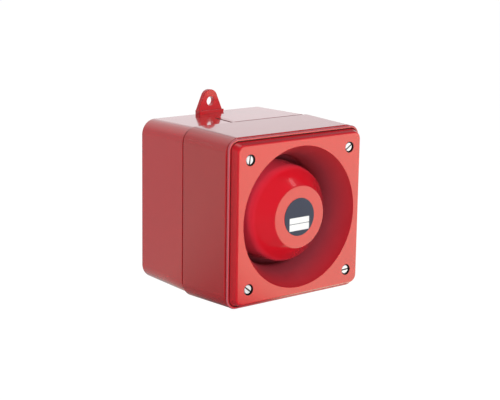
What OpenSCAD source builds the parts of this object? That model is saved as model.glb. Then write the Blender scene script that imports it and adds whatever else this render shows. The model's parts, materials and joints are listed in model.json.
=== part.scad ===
/* [Case] */
// Width and height of the square front flange
flange_w = 135; // [128:1:150]
// Corner radius of the flange
flange_r = 9; // [7:0.5:11]
// Thickness of the flange
flange_t = 2.5; // [2:0.1:4]
// How far the flange sits inside the edge of the front housing
flange_inset = 0.6; // [0.2:0.1:1.2]
// Outer corner radius of both housings
corner_r = 12.5; // [11:0.5:15]
// Wall thickness of both housings
wall = 3; // [2.6:0.1:4]
// Thickness of the wall that lies on the building wall
back_wall = 4; // [3:0.1:6]
// Depth of the rear housing, wall face to seam
rear_d = 61.4; // [60:0.2:75]
// Depth of the front housing, seam to flange
front_d = 53.2; // [51:0.2:65]
// How far the front housing stands proud of the rear one at the seam
seam_step = 0.9; // [0.4:0.1:1.4]
// Draft of the rear housing's sides, in degrees
rear_draft = 1; // [0.3:0.1:1.8]
// Draft of the front housing's sides, in degrees
front_draft = 1.7; // [0.5:0.1:2.2]
// Height of the square-section seals in the two rims
seal_h = 2.4; // [1.6:0.1:4]
// Width of the square-section seals
seal_w = 1.4; // [1:0.1:1.6]

/* [Lugs] */
// Thickness of a mounting lug
lug_t = 4.5; // [3.5:0.1:6]
// Radius of the hole in a lug
lug_hole_r = 3.8; // [2.5:0.1:4]
// Distance from the centre of the case to a lug's hole
lug_hole_reach = 78.4; // [77.5:0.1:84]
// Distance from the hole to the centre of the rounded tip
lug_tip_rise = 2.4; // [1:0.1:4]
// Radius of the rounded tip
lug_tip_r = 7.5; // [6.5:0.1:9]
// Width of a lug at its shoulders
lug_w = 25; // [20:0.5:27]
// Height of the thicker foot above the case edge
foot_h = 3.3; // [2:0.1:4]
// Width of the foot along its top edge
foot_w = 26; // [26:0.5:29]
// How far the ends of the foot lean in towards the case
foot_lean = 0.8; // [0:0.1:1.5]
// Thickness of the foot
foot_t = 6.5; // [6.2:0.1:9]
// How far the raised panel on the top reaches to the left of the lug's middle
panel_left = 10; // [6:0.5:12]

/* [Front plate] */
// Height of the raised front above the flange
plateau_h = 6.7; // [6:0.1:10]
// Width of the flange that is left showing around the raised front
plateau_lip = 2.5; // [1.5:0.1:3]
// How far the sides of the raised front lean in
plateau_lean = 1.8; // [0.5:0.1:2]
// Corner radius of the raised front
plateau_r = 7; // [5:0.5:10]
// Wall thickness of the raised front
plate_wall = 3; // [2.4:0.1:3.4]

/* [Horn] */
// Radius of the round mouth in the front face
mouth_r = 57.6; // [56:0.1:58.5]
// Radius of the rounding at the edge of the mouth
lip_r = 0.5; // [0.4:0.1:1.5]
// Depth from the front face to the floor of the dish
horn_depth = 42.8; // [42:0.2:44]
// Radius of the dish behind the bell
dish_r = 46; // [45:0.5:48]
// Radius of the turn between the floor of the dish and the flare
dish_fillet = 8; // [5:0.5:10]
// Exponent of the flare's curve
flare_power = 2; // [1.3:0.1:2.2]
// Wall thickness of the flare
horn_wall = 2.5; // [2:0.1:3.5]
// Radius of the air passage in the throat tube
throat_r = 7; // [6:0.1:8]
// Wall thickness of the throat tube
tube_wall = 3; // [2:0.1:3.5]
// Length of the throat tube in front of the dish floor
tube_l = 31; // [29:0.5:33]
// Radius of the tube's flange behind the dish floor
tube_flange_r = 15; // [13.5:0.5:18]
// Thickness of the tube's flange
tube_flange_t = 2; // [1.5:0.1:2.4]

/* [Bell] */
// Radius of the flat cap in the middle of the mouth
cap_r = 25.2; // [22:0.1:28]
// How far the cap sits behind the front face
cap_set_back = 1; // [0.5:0.1:2]
// Radius of the rounding around the cap
cap_edge_r = 1.5; // [0.5:0.1:2]
// Radius of the bell's skirt
skirt_r = 39.4; // [38:0.1:40.5]
// Length of the skirt, from the shoulder back to the rim
skirt_l = 20; // [17:0.1:21]
// Length of the cone between cap and shoulder
bell_l = 14.7; // [13:0.1:16]
// Radius of the rounded shoulder between cone and skirt
shoulder_r = 5; // [2.6:0.1:6]
// Wall thickness of the bell
bell_wall = 2; // [1.5:0.1:2.4]
// Thickness of the three ribs inside the bell
bell_rib_t = 2; // [1.5:0.1:3]
// Radius of the round label on the cap
label_r = 15.4; // [10:0.2:20]
// Thickness of the label
label_t = 0.3; // [0.2:0.05:0.6]

/* [Cover screws] */
// Side of the square on which the four screws sit
screw_pitch = 102.7; // [101:0.1:104]
// Radius of a screw's shank
screw_r = 2; // [1.5:0.1:2]
// Radius of a screw's head
head_r = 3.5; // [3.2:0.1:3.6]
// Height of a screw's head
head_h = 2.6; // [2:0.1:2.8]
// Width of the slot in a head
slot_w = 1.1; // [0.8:0.1:1.4]
// Depth of the slot in a head
slot_d = 1.2; // [0.8:0.1:1.4]
// How far a head lies below the front face
head_recess = 1; // [0.4:0.1:1.2]
// Radius of the hole that a head lies in
counterbore_r = 4.25; // [4.2:0.05:4.6]
// Thickness of the sealing washer under a head
washer_t = 0.6; // [0.4:0.1:0.8]
// Height of the washer's rim around a head
washer_rim = 2; // [1:0.1:2]
// Outer radius of a threaded insert
insert_r = 2.8; // [2.7:0.1:3.2]
// Length of a threaded insert
insert_l = 8; // [6:0.5:10]
// Outer radius of the bosses and sleeves around the screws
boss_r = 5.5; // [5:0.1:6]

/* [Driver] */
// Outer radius of the driver's cover and frame
driver_r = 37; // [36.8:0.1:38]
// Radius of the circle of driver screws
driver_screw_pcr = 33.5; // [33.2:0.1:33.8]
// Radius of a driver screw
driver_screw_r = 1.5; // [1.2:0.1:1.6]
// Thickness of the gasket in front of the driver
gasket_t = 0.8; // [0.5:0.1:1.2]
// Thickness of the driver's cover
cover_t = 6; // [5.6:0.1:7]
// Radius of the diaphragm
diaphragm_r = 16.7; // [16:0.1:17.5]
// Rise of the diaphragm's dome
dome_rise = 2.6; // [1.5:0.1:2.8]
// Thickness of the diaphragm
diaphragm_t = 0.4; // [0.3:0.05:0.5]
// Thickness of the surround that the cover clamps
surround_t = 1; // [0.9:0.1:1.4]
// Thickness of the driver's frame
frame_t = 6; // [5:0.1:7]
// Thickness of the steel plate in front of the magnet
pole_plate_t = 4; // [3:0.1:5]
// Thickness of the magnet ring
magnet_t = 10; // [8:0.1:11]
// Outer radius of the magnet ring
magnet_r = 28; // [25:0.5:29]
// Thickness of the yoke's back plate
yoke_t = 4; // [3:0.1:5]
// Mean radius of the voice coil
coil_r = 13; // [12:0.1:14]
// Thickness of the voice coil
coil_t = 0.6; // [0.4:0.05:0.8]
// Half of the diaphragm's travel
diaphragm_travel = 0.4; // [0.2:0.05:0.5]

/* [Circuit board] */
// Width of the circuit board
board_w = 92; // [90:1:94]
// Height of the circuit board
board_h = 84; // [82:1:86]
// Thickness of the circuit board
board_t = 1.6; // [1.2:0.1:2]
// Distance from the back wall to the circuit board
board_gap = 10; // [6:0.5:12]
// Radius of a board screw
board_screw_r = 1.45; // [1.2:0.05:1.6]
// Height of the transformer
transformer_h = 20; // [16:0.5:22]
// Radius of the larger capacitor
capacitor_r = 6.3; // [5:0.1:6.5]
// Number of ways in the terminal block
terminal_ways = 6; // [3:1:6]
// Pitch of the terminal block
terminal_pitch = 5; // [4:0.1:5.1]
// Travel of a tone slider
tone_travel = 1.7; // [1.2:0.1:2]
// Radius of the volume rotor
volume_r = 3.2; // [2.6:0.1:3.6]

/* [Cable gland] */
// Distance of the gland from the middle of the case, to the right
gland_x = 32; // [31:0.5:34]
// Distance of the gland from the wall face
gland_d = 30; // [26:0.5:34]
// Radius of the gland's case thread
gland_thread_r = 10; // [9:0.1:10.2]
// Width across the flats of the gland's hexagons
gland_hex = 24; // [23:0.5:25]
// Radius of the cable hole in the gland's seal
cable_r = 5; // [3:0.1:5.5]
// Outer radius of the gland's seal
gland_seal_r = 7.8; // [7.4:0.1:8]

/* [Hidden] */
$fn = 72;

// Clearances: a running fit, a close fit, a gap between pieces that move, and the overrun of a cut
run_fit = 0.05;
close_fit = 0.1;
free_gap = 0.3;
cut = 1;

case_red = [0.80, 0.07, 0.09];
seal_black = [0.10, 0.10, 0.11];
steel = [0.72, 0.73, 0.75];
brass = [0.80, 0.63, 0.30];
slate = [0.25, 0.28, 0.34];
dark_grey = [0.22, 0.22, 0.24];

// Half widths of the drafted housings, and depths measured from the wall
front_half = flange_w / 2 + flange_inset;
seam_front_half = front_half + front_d * tan(front_draft);
seam_rear_half = seam_front_half - seam_step;
wall_half = seam_rear_half - rear_d * tan(rear_draft);
flange_back = rear_d + front_d;
flange_face = flange_back + flange_t;
face_d = flange_face + plateau_h;
plateau_half = flange_w / 2 - plateau_lip;

function rear_half(d) = wall_half + d * tan(rear_draft);
function front_half_at(d) = seam_front_half - (d - rear_d) * tan(front_draft);

// Cover screws: quarter of the case, and how each slot has stopped
screw_sites = [[-1, 1, 84], [1, 1, 32], [-1, -1, -38], [1, -1, 4]];
screw_at = screw_pitch / 2;
head_back = face_d - head_recess - head_h;
counterbore_floor = head_back - washer_t;
screw_play = 0.25;
screw_hole_r = screw_r + screw_play;
boss_top = rear_d - free_gap;
insert_back = boss_top - insert_l;
screw_overrun = 3;
screw_end = insert_back - screw_overrun;
web_t = 2;

// Horn: the floor of the dish, then the driver's stack from front to back
floor_d = face_d - horn_depth;
seat_t = 5;
seat_margin = 1;
seat_r = driver_r + seat_margin;
seat_d = floor_d - seat_t;
gasket_back = seat_d - gasket_t;
cover_back = gasket_back - cover_t;
clamp_back = cover_back - surround_t;
frame_back = clamp_back - frame_t;
pole_plate_back = frame_back - pole_plate_t;
magnet_back = pole_plate_back - magnet_t;
yoke_back = magnet_back - yoke_t;
tube_r = throat_r + tube_wall;
tube_end = floor_d + tube_l;
plug_ring_t = 1;
plug_ring_l = 2;
chamber_margin = 1.3;
chamber_r = diaphragm_r + chamber_margin;
chamber_d = dome_rise + diaphragm_t + diaphragm_travel + 2 * free_gap;
surround_in = diaphragm_r + free_gap;
surround_grip = 8;
surround_out = chamber_r + surround_grip;
clamp_w = 2;
frame_in = surround_out - clamp_w;
pole_plate_r = driver_screw_pcr - driver_screw_r - clamp_w;
magnet_gap = 3;
yoke_lip = 1;
coil_gap = 0.4;
coil_overhang = 1.6;
diaphragm_back = clamp_back + free_gap;
driver_head_r = 2.6;
driver_head_h = 2;
driver_screw_bite = 4;

// Bell: planes of cap, shoulder and rim, lean of the cone, and the hub on the throat tube
cap_d = face_d - cap_set_back;
shoulder_d = cap_d - bell_l;
bell_rim_d = shoulder_d - skirt_l;
cone_lean = atan((skirt_r - cap_r) / bell_l);
hub_wall = 2;
hub_r = tube_r + run_fit + hub_wall;
hub_l = 10;

// Circuit board and what stands on it; places are from the middle of the board
board_back = back_wall + board_gap;
board_top = board_back + board_t;
board_hole_inset = 5;
board_hole_x = board_w / 2 - board_hole_inset;
board_hole_y = board_h / 2 - board_hole_inset;
board_head_r = board_screw_r * 1.8;
board_head_h = board_screw_r * 1.3;
post_r = 3.5;
board_corner_r = 3;
transformer_at = [-22, 16];
transformer_w = 30;
transformer_l = 26;
core_limb = transformer_w / 5;
core_yoke = core_limb * 0.6;
core_t = transformer_l * 0.55;
capacitor_sites = [[6, 28, 0], [21, 28, 1]];
capacitor_h = 18;
capacitor_step = 1.3;
capacitor_round = 0.6;
crimp_at = 1.6;
crimp_w = 0.6;
crimp_d = 0.4;
terminal_at = [22, -32];
terminal_l = 9;
terminal_h = 11;
terminal_shoulder = terminal_h * 0.7;
terminal_shaft = terminal_h * 0.6;
wire_level = terminal_h * 0.3;
terminal_screw_r = 1.7;
wire_hole_r = 1.5;
header_at = [0, -33];
header_w = 10;
header_l = 6;
header_h = 8;
fuse_at = [-24, -14];
fuse_l = 20;
fuse_r = 2.6;
fuse_glass_r = 2.3;
fuse_lift = 3.6;
clip_w = 5;
clip_t = 0.8;
chip_sites = [[10, -8], [27, -8]];
chip_size = [10.3, 7.5, 2.3];
chip_lead_l = 1.4;
chip_lead_w = 0.4;
chip_leads = 8;
tone_at = [26, 11];
tone_ways = 5;
tone_margin = 2.4;
tone_pitch = 2.54;
tone_body = [tone_ways * tone_pitch + tone_margin, 8, 5];
tone_slider = [1.2, 1.9, 3.4];
tone_slot_depth = 3;
volume_at = [4, 11];
volume_w = 9.6;
volume_h = 5;
volume_depth = 3;

// Cable gland: planes below the middle of the case, and its own sizes
pad_margin = 6;
pad_r = gland_thread_r + pad_margin;
pad_proud = 0.6;
pad_out = ceil(10 * (rear_half(gland_d + pad_r) + pad_proud)) / 10;
pad_in = floor(10 * (rear_half(gland_d - pad_r) - wall - pad_proud)) / 10;
pad_t = pad_out - pad_in;
ring_t = 1.4;
ring_w = 2.6;
gland_bore_r = cable_r + 1;
locknut_t = 4;
gland_flange_t = 6;
gland_neck_r = gland_seal_r + 1.5;
gland_neck_l = 9;
gland_seal_l = 9;
gland_cap_wall = 2.2;
gland_cap_gap = 0.6;
gland_cap_l = 13;

// Leads from the driver to the board: two routes that mirror each other
lead_r = 0.9;
lead_sides = 8;
blade_x = 4;
blade_y = -34.5;
blade_w = 4.8;
blade_t = 0.8;
blade_l = 8;
strip_w = 16;
strip_l = 7.6;
strip_t = 3;
lead_start = frame_back - strip_t - blade_l;
lead_end = board_top + header_h;
lead_run = lead_start - lead_end;
lead_x = 2.5;
lead_bow = 3;
lead_spread = 0.6;
lead_route = [
    [blade_x, blade_y, lead_start],
    [blade_x, blade_y, lead_start - lead_run * 0.1],
    [blade_x + lead_spread, blade_y - lead_bow * 0.7, lead_start - lead_run * 0.3],
    [blade_x + lead_spread * 0.7, blade_y - lead_bow, lead_start - lead_run * 0.55],
    [blade_x - lead_spread, blade_y - lead_bow * 0.4, lead_start - lead_run * 0.78],
    [lead_x, header_at[1], lead_start - lead_run * 0.93],
    [lead_x, header_at[1], lead_end]
];

// Everything is drawn with x to the right, y up and z out from the wall
module from_wall() {
    rotate([90, 0, 0])
        children();
}

module at_corners(x, y) {
    for (sx = [-1, 1], sy = [-1, 1])
        translate([sx * x, sy * y, 0])
            children();
}

module rounded_rect(w, h, r) {
    square([w, h - 2 * r], center = true);
    square([w - 2 * r, h], center = true);
    at_corners(w / 2 - r, h / 2 - r)
        circle(r);
}

module rounded_square(half, r) {
    rounded_rect(2 * half, 2 * half, r);
}

module drafted_block(half_a, half_b, r, l) {
    linear_extrude(height = l, scale = half_b / half_a)
        rounded_square(half_a, r, $fn = 48);
}

module square_ring(half_out, half_in, r_out, r_in, l) {
    linear_extrude(height = l)
        difference() {
            rounded_square(half_out, r_out);
            rounded_square(half_in, r_in);
        }
}

module ring(r_out, r_in, l) {
    difference() {
        cylinder(r = r_out, h = l);
        translate([0, 0, -cut])
            cylinder(r = r_in, h = l + 2 * cut);
    }
}

module hex_prism(across, l) {
    cylinder(r = across / sqrt(3), h = l, $fn = 6);
}

// Two plates that tie a boss to the side walls of the case, drawn in the upper right corner
module boss_webs(reach, l) {
    translate([0, -web_t / 2, 0])
        cube([reach - screw_at, web_t, l]);
    translate([-web_t / 2, 0, 0])
        cube([web_t, reach - screw_at, l]);
}

module in_each_corner() {
    for (sx = [0, 1], sy = [0, 1])
        mirror([sx, 0, 0])
            mirror([0, sy, 0])
                translate([screw_at, screw_at, 0])
                    children();
}

// Lug outline: a rounded tip whose tangents run down to the shoulders
module lug_outline() {
    tip_y = lug_hole_reach + lug_tip_rise;
    shoulder = [lug_w / 2, wall_half + foot_h];
    away = shoulder - [0, tip_y];
    tangent = atan2(away[1], away[0]) + acos(lug_tip_r / norm(away));
    touch = [lug_tip_r * cos(tangent), tip_y + lug_tip_r * sin(tangent)];
    translate([0, tip_y])
        circle(lug_tip_r);
    polygon([
        [-lug_w / 2, wall_half - wall / 2], [lug_w / 2, wall_half - wall / 2], shoulder, touch,
        [-touch[0], touch[1]], [-shoulder[0], shoulder[1]]
    ]);
}

module lug() {
    linear_extrude(height = lug_t)
        lug_outline();
    linear_extrude(height = foot_t)
        polygon([
            [-foot_w / 2, wall_half + foot_h], [foot_lean - foot_w / 2, wall_half - wall / 2],
            [foot_w / 2 - foot_lean, wall_half - wall / 2], [foot_w / 2, wall_half + foot_h]
        ]);
}

// Raised panel from the upper lug to the right corner, level at the seam with the front housing
module top_panel() {
    panel_right = wall_half - corner_r;
    translate([-panel_left, 0, 0])
        rotate([90, 0, 90])
            linear_extrude(height = panel_left + panel_right)
                polygon([
                    [wall_half - wall / 2, 0], [wall_half + seam_step, 0],
                    [seam_rear_half + seam_step, rear_d], [seam_rear_half - wall / 3, rear_d]
                ]);
}

module rear_housing() {
    web_reach = seam_rear_half - wall * 3 / 4;
    color(case_red)
        from_wall()
            difference() {
                union() {
                    difference() {
                        drafted_block(wall_half, seam_rear_half, corner_r, rear_d);
                        translate([0, 0, back_wall])
                            drafted_block(
                                rear_half(back_wall) - wall, rear_half(rear_d + cut) - wall,
                                corner_r - wall, rear_d + cut - back_wall
                            );
                    }
                    in_each_corner()
                        union() {
                            translate([0, 0, back_wall / 2])
                                cylinder(r = boss_r, h = boss_top - back_wall / 2);
                            translate([0, 0, back_wall / 2])
                                boss_webs(web_reach, insert_back - back_wall / 2);
                        }
                    at_corners(board_hole_x, board_hole_y)
                        translate([0, 0, back_wall / 2])
                            cylinder(r = post_r, h = board_back - back_wall / 2);
                    for (side = [0, 1])
                        mirror([0, side, 0])
                            lug();
                    top_panel();
                    translate([gland_x, -pad_in, gland_d])
                        rotate([90, 0, 0])
                            cylinder(r = pad_r, h = pad_t);
                }
                translate([0, 0, rear_d - seal_h])
                    linear_extrude(height = seal_h + cut)
                        rounded_square(
                            seam_rear_half - wall + seal_w + 2 * close_fit, corner_r - wall + seal_w
                        );
                in_each_corner() {
                    translate([0, 0, insert_back])
                        cylinder(r = insert_r + run_fit, h = insert_l + cut);
                    translate([0, 0, screw_end - cut])
                        cylinder(r = screw_hole_r, h = insert_l + cut);
                }
                at_corners(board_hole_x, board_hole_y)
                    translate([0, 0, back_wall])
                        cylinder(r = board_screw_r + run_fit, h = board_gap + cut);
                for (side = [-1, 1])
                    translate([0, side * lug_hole_reach, -cut])
                        cylinder(r = lug_hole_r, h = foot_t + 2 * cut);
                translate([gland_x, -pad_in + cut, gland_d])
                    rotate([90, 0, 0])
                        cylinder(r = gland_thread_r + close_fit, h = pad_t + 2 * cut);
            }
}

module housing_seal() {
    half_in = seam_rear_half - wall + close_fit;
    color(seal_black)
        from_wall()
            translate([0, 0, rear_d - seal_h])
                square_ring(
                    half_in + seal_w, half_in, corner_r - wall + seal_w, corner_r - wall, seal_h
                );
}

module front_housing() {
    web_reach = front_half - wall * 3 / 4;
    rebate = front_half - wall + seal_w + 2 * close_fit;
    color(case_red)
        from_wall()
            difference() {
                union() {
                    translate([0, 0, rear_d])
                        difference() {
                            drafted_block(seam_front_half, front_half, corner_r, front_d);
                            translate([0, 0, -cut])
                                drafted_block(
                                    front_half_at(rear_d - cut) - wall,
                                    front_half_at(flange_back + cut) - wall,
                                    corner_r - wall, front_d + 2 * cut
                                );
                        }
                    in_each_corner()
                        translate([0, 0, rear_d])
                            union() {
                                cylinder(r = boss_r, h = front_d);
                                boss_webs(web_reach, front_d - seal_h - cut);
                            }
                }
                translate([0, 0, flange_back - seal_h])
                    linear_extrude(height = seal_h + cut)
                        difference() {
                            rounded_square(rebate, corner_r - wall + seal_w);
                            in_each_corner()
                                circle(boss_r);
                        }
                in_each_corner()
                    translate([0, 0, rear_d - cut])
                        cylinder(r = screw_hole_r, h = front_d + 2 * cut);
            }
}

module front_seal() {
    half_in = front_half - wall + close_fit;
    color(seal_black)
        from_wall()
            translate([0, 0, flange_back - seal_h])
                square_ring(
                    half_in + seal_w, half_in, corner_r - wall + seal_w, corner_r - wall, seal_h
                );
}

// The air side of the horn: dish floor, turn, flare and rounded lip, moved out by skin
function horn_side(skin) = [
    for (a = [-90:15:0])
        [dish_r - dish_fillet + (dish_fillet + skin) * cos(a),
            floor_d + dish_fillet + (dish_fillet + skin) * sin(a)],
    for (t = [0.1:0.1:1])
        [dish_r + skin + (mouth_r - lip_r - dish_r) * pow(t, flare_power),
            floor_d + dish_fillet + (face_d - lip_r - floor_d - dish_fillet) * t]
];

function mouth_lip() = [
    for (a = [165:-15:90])
        [mouth_r + lip_r * cos(a), face_d - lip_r + lip_r * sin(a)]
];

module horn_air() {
    rotate_extrude()
        polygon(concat(
            [[0, floor_d]], horn_side(0), mouth_lip(),
            [[mouth_r, face_d + cut], [0, face_d + cut]]
        ));
}

module horn_skin() {
    rotate_extrude()
        polygon(concat(
            [[0, floor_d - horn_wall]], horn_side(horn_wall), [[0, face_d - lip_r]]
        ));
}

module horn_front() {
    hollow_half = plateau_half - plateau_lean - plate_wall;
    color(case_red)
        from_wall()
            difference() {
                union() {
                    difference() {
                        union() {
                            translate([0, 0, flange_back])
                                linear_extrude(height = flange_t)
                                    rounded_square(flange_w / 2, flange_r);
                            translate([0, 0, flange_face])
                                drafted_block(
                                    plateau_half, plateau_half - plateau_lean, plateau_r, plateau_h
                                );
                        }
                        translate([0, 0, flange_back - cut])
                            linear_extrude(height = face_d - plate_wall - flange_back + cut)
                                rounded_square(hollow_half, plateau_r - plate_wall);
                    }
                    horn_skin();
                    translate([0, 0, seat_d])
                        cylinder(r = seat_r, h = seat_t - horn_wall / 2);
                    in_each_corner()
                        translate([0, 0, flange_back])
                            cylinder(r = boss_r, h = face_d - plate_wall / 2 - flange_back);
                }
                horn_air();
                in_each_corner() {
                    translate([0, 0, counterbore_floor])
                        cylinder(r = counterbore_r, h = face_d + cut - counterbore_floor);
                    translate([0, 0, flange_back - cut])
                        cylinder(r = screw_hole_r, h = face_d - flange_back);
                }
                translate([0, 0, seat_d - cut])
                    cylinder(r = tube_r + run_fit, h = seat_t + 2 * cut);
                translate([0, 0, seat_d - cut])
                    cylinder(r = tube_flange_r + close_fit, h = tube_flange_t + cut);
                driver_screw_sites()
                    translate([0, 0, seat_d - cut])
                        cylinder(r = driver_screw_r + run_fit, h = cut + driver_screw_bite + free_gap);
            }
}

module throat_tube() {
    color(case_red)
        from_wall()
            difference() {
                union() {
                    translate([0, 0, seat_d])
                        cylinder(r = tube_flange_r, h = tube_flange_t);
                    translate([0, 0, seat_d])
                        cylinder(r = tube_r, h = tube_end - seat_d);
                }
                translate([0, 0, seat_d - cut])
                    cylinder(r1 = throat_r, r2 = throat_r + tube_wall / 2, h = tube_end - seat_d + 2 * cut);
            }
}

// Skirt and rounded shoulder of the bell, moved in by skin
function bell_side(skin) = [
    [skirt_r - skin, bell_rim_d],
    for (t = [0:0.2:1])
        [skirt_r - shoulder_r + (shoulder_r - skin) * cos(cone_lean * t),
            shoulder_d - shoulder_r * tan(cone_lean / 2) + (shoulder_r - skin) * sin(cone_lean * t)]
];

function cap_edge() = [
    for (t = [0:0.2:1])
        let (a = cone_lean + (90 - cone_lean) * t)
        [cap_r - cap_edge_r * tan((90 - cone_lean) / 2) + cap_edge_r * cos(a),
            cap_d - cap_edge_r + cap_edge_r * sin(a)]
];

function cap_corner(skin) = [cap_r - skin * tan((90 - cone_lean) / 2), cap_d - skin];

function reversed(list) = [for (i = [len(list) - 1:-1:0]) list[i]];

module bell_shell() {
    rotate_extrude()
        polygon(concat(
            bell_side(0), cap_edge(), [[0, cap_d], [0, cap_d - bell_wall]],
            [cap_corner(bell_wall)], reversed(bell_side(bell_wall))
        ));
}

// Solid that ends half way into the wall of the bell, to trim the ribs
module bell_inside() {
    rotate_extrude()
        polygon(concat(
            [[0, bell_rim_d]], bell_side(bell_wall / 2), [cap_corner(bell_wall / 2)],
            [[0, cap_d - bell_wall / 2]]
        ));
}

module horn_bell() {
    hub_back = tube_end - hub_l;
    rib_back = hub_back + bell_wall;
    color(case_red)
        from_wall()
            difference() {
                union() {
                    bell_shell();
                    translate([0, 0, hub_back])
                        cylinder(r = hub_r, h = hub_l);
                    intersection() {
                        for (a = [90, 210, 330])
                            rotate([0, 0, a])
                                translate([tube_r, -bell_rib_t / 2, rib_back])
                                    cube([skirt_r, bell_rib_t, cap_d - rib_back]);
                        bell_inside();
                    }
                }
                translate([0, 0, hub_back - cut])
                    cylinder(r = tube_r + run_fit, h = hub_l + cut);
            }
}

module label_disc() {
    color(slate)
        from_wall()
            translate([0, 0, cap_d])
                cylinder(r = label_r, h = label_t);
}

module cover_screws() {
    color(steel)
        from_wall()
            for (site = screw_sites)
                translate([site[0] * screw_at, site[1] * screw_at, 0])
                    difference() {
                        union() {
                            translate([0, 0, head_back])
                                cylinder(r = head_r, h = head_h);
                            translate([0, 0, screw_end])
                                cylinder(r = screw_r - run_fit, h = head_back + head_h / 2 - screw_end);
                        }
                        rotate([0, 0, site[2]])
                            translate([-head_r - cut, -slot_w / 2, head_back + head_h - slot_d])
                                cube([2 * (head_r + cut), slot_w, slot_d + cut]);
                    }
}

module screw_washers() {
    color(seal_black)
        from_wall()
            in_each_corner()
                translate([0, 0, counterbore_floor]) {
                    ring(counterbore_r - close_fit, screw_r + close_fit, washer_t);
                    ring(counterbore_r - close_fit, head_r + close_fit, washer_t + washer_rim);
                }
}

module threaded_inserts() {
    color(brass)
        from_wall()
            in_each_corner()
                translate([0, 0, insert_back])
                    ring(insert_r, screw_r, insert_l);
}

module driver_screw_sites() {
    for (a = [45:90:315])
        rotate([0, 0, a])
            translate([driver_screw_pcr, 0, 0])
                children();
}

module driver_gasket() {
    color(seal_black)
        from_wall()
            translate([0, 0, gasket_back])
                difference() {
                    cylinder(r = driver_r, h = gasket_t);
                    translate([0, 0, -cut])
                        cylinder(r = throat_r + plug_ring_t + 1, h = gasket_t + 2 * cut);
                    driver_screw_sites()
                        translate([0, 0, -cut])
                            cylinder(r = driver_screw_r + close_fit, h = gasket_t + 2 * cut);
                }
}

module driver_cover() {
    color(dark_grey)
        from_wall()
            translate([0, 0, cover_back])
                difference() {
                    cylinder(r = driver_r, h = cover_t);
                    translate([0, 0, -cut])
                        cylinder(r = throat_r + plug_ring_t + run_fit, h = cover_t + 2 * cut);
                    translate([0, 0, -cut])
                        cylinder(r = chamber_r, h = chamber_d + cut);
                    driver_screw_sites()
                        translate([0, 0, -cut])
                            cylinder(r = driver_screw_r + close_fit, h = cover_t + 2 * cut);
                }
}

// A bullet held by three spokes in a ring that fills the hole of the cover
module phase_plug() {
    bullet_r = throat_r / 2;
    color(dark_grey)
        from_wall()
            translate([0, 0, gasket_back - plug_ring_l]) {
                ring(throat_r + plug_ring_t, throat_r, plug_ring_l);
                rotate_extrude()
                    polygon(concat(
                        [[0, 0], [bullet_r, 0]],
                        [for (a = [0:15:90])
                            [bullet_r * cos(a), plug_ring_l + 2 * bullet_r * sin(a)]]
                    ));
                for (a = [90, 210, 330])
                    rotate([0, 0, a])
                        translate([bullet_r / 2, -plug_ring_t / 2, 0])
                            cube([
                                throat_r + plug_ring_t / 2 - bullet_r / 2, plug_ring_t, plug_ring_l
                            ]);
            }
}

// Flat rim with a dome inside the voice coil, both of one thickness
function dome_side(lift) = [
    for (s = [0:0.125:1])
        [(coil_r - coil_t / 2) * s, lift + dome_rise * (1 - s * s)]
];

module diaphragm() {
    color([0.75, 0.60, 0.35])
        from_wall()
            translate([0, 0, diaphragm_back])
                rotate_extrude()
                    polygon(concat(
                        dome_side(0), [[diaphragm_r, 0], [diaphragm_r, diaphragm_t]],
                        reversed(dome_side(diaphragm_t))
                    ));
}

module diaphragm_surround() {
    color(seal_black)
        from_wall()
            translate([0, 0, clamp_back])
                ring(surround_out, surround_in, surround_t);
}

module voice_coil() {
    color([0.72, 0.40, 0.20])
        from_wall()
            translate([0, 0, pole_plate_back - coil_overhang])
                ring(
                    coil_r + coil_t / 2, coil_r - coil_t / 2,
                    diaphragm_back - pole_plate_back + coil_overhang
                );
}

module driver_frame() {
    color(dark_grey)
        from_wall()
            translate([0, 0, frame_back])
                difference() {
                    cylinder(r = driver_r, h = frame_t + surround_t);
                    translate([0, 0, -cut])
                        cylinder(r = frame_in, h = frame_t + surround_t + 2 * cut);
                    translate([0, 0, frame_t])
                        cylinder(r = surround_out + run_fit, h = surround_t + cut);
                    driver_screw_sites()
                        translate([0, 0, -cut])
                            cylinder(
                                r = driver_screw_r + close_fit, h = frame_t + surround_t + 2 * cut
                            );
                }
}

module pole_plate() {
    color(steel)
        from_wall()
            translate([0, 0, pole_plate_back])
                ring(pole_plate_r, coil_r + coil_t / 2 + coil_gap, pole_plate_t);
}

module magnet_ring() {
    color([0.28, 0.28, 0.30])
        from_wall()
            translate([0, 0, magnet_back])
                ring(magnet_r, coil_r + magnet_gap, magnet_t);
}

module yoke() {
    color(steel)
        from_wall()
            translate([0, 0, yoke_back]) {
                cylinder(r = magnet_r + yoke_lip, h = yoke_t);
                cylinder(r = coil_r - coil_t / 2 - coil_gap, h = frame_back - yoke_back);
            }
}

module driver_screws() {
    color(steel)
        from_wall()
            driver_screw_sites()
                translate([0, 0, frame_back])
                    difference() {
                        union() {
                            translate([0, 0, -driver_head_h])
                                cylinder(r = driver_head_r, h = driver_head_h);
                            cylinder(r = driver_screw_r, h = seat_d + driver_screw_bite - frame_back);
                        }
                        cross_recess(-driver_head_h, driver_head_r);
                    }
}

// Cross recess in a head whose free face lies at z = face and looks towards the wall
module cross_recess(face, r) {
    for (a = [0, 90])
        rotate([0, 0, a])
            translate([-r * 0.6, -r * 0.12, face - cut])
                cube([r * 1.2, r * 0.24, cut + r * 0.4]);
}

module terminal_strip() {
    color([0.45, 0.30, 0.18])
        from_wall()
            translate([-strip_w / 2, blade_y - strip_l / 2, frame_back - strip_t])
                cube([strip_w, strip_l, strip_t]);
}

module terminal_blades() {
    color(steel)
        from_wall()
            for (side = [-1, 1])
                translate([side * blade_x - blade_w / 2, blade_y - blade_t / 2, lead_start])
                    cube([blade_w, blade_t, blade_l]);
}

function unit(v) = v / norm(v);

function heading(path, i) = unit(path[min(i + 1, len(path) - 1)] - path[max(i - 1, 0)]);

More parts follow.
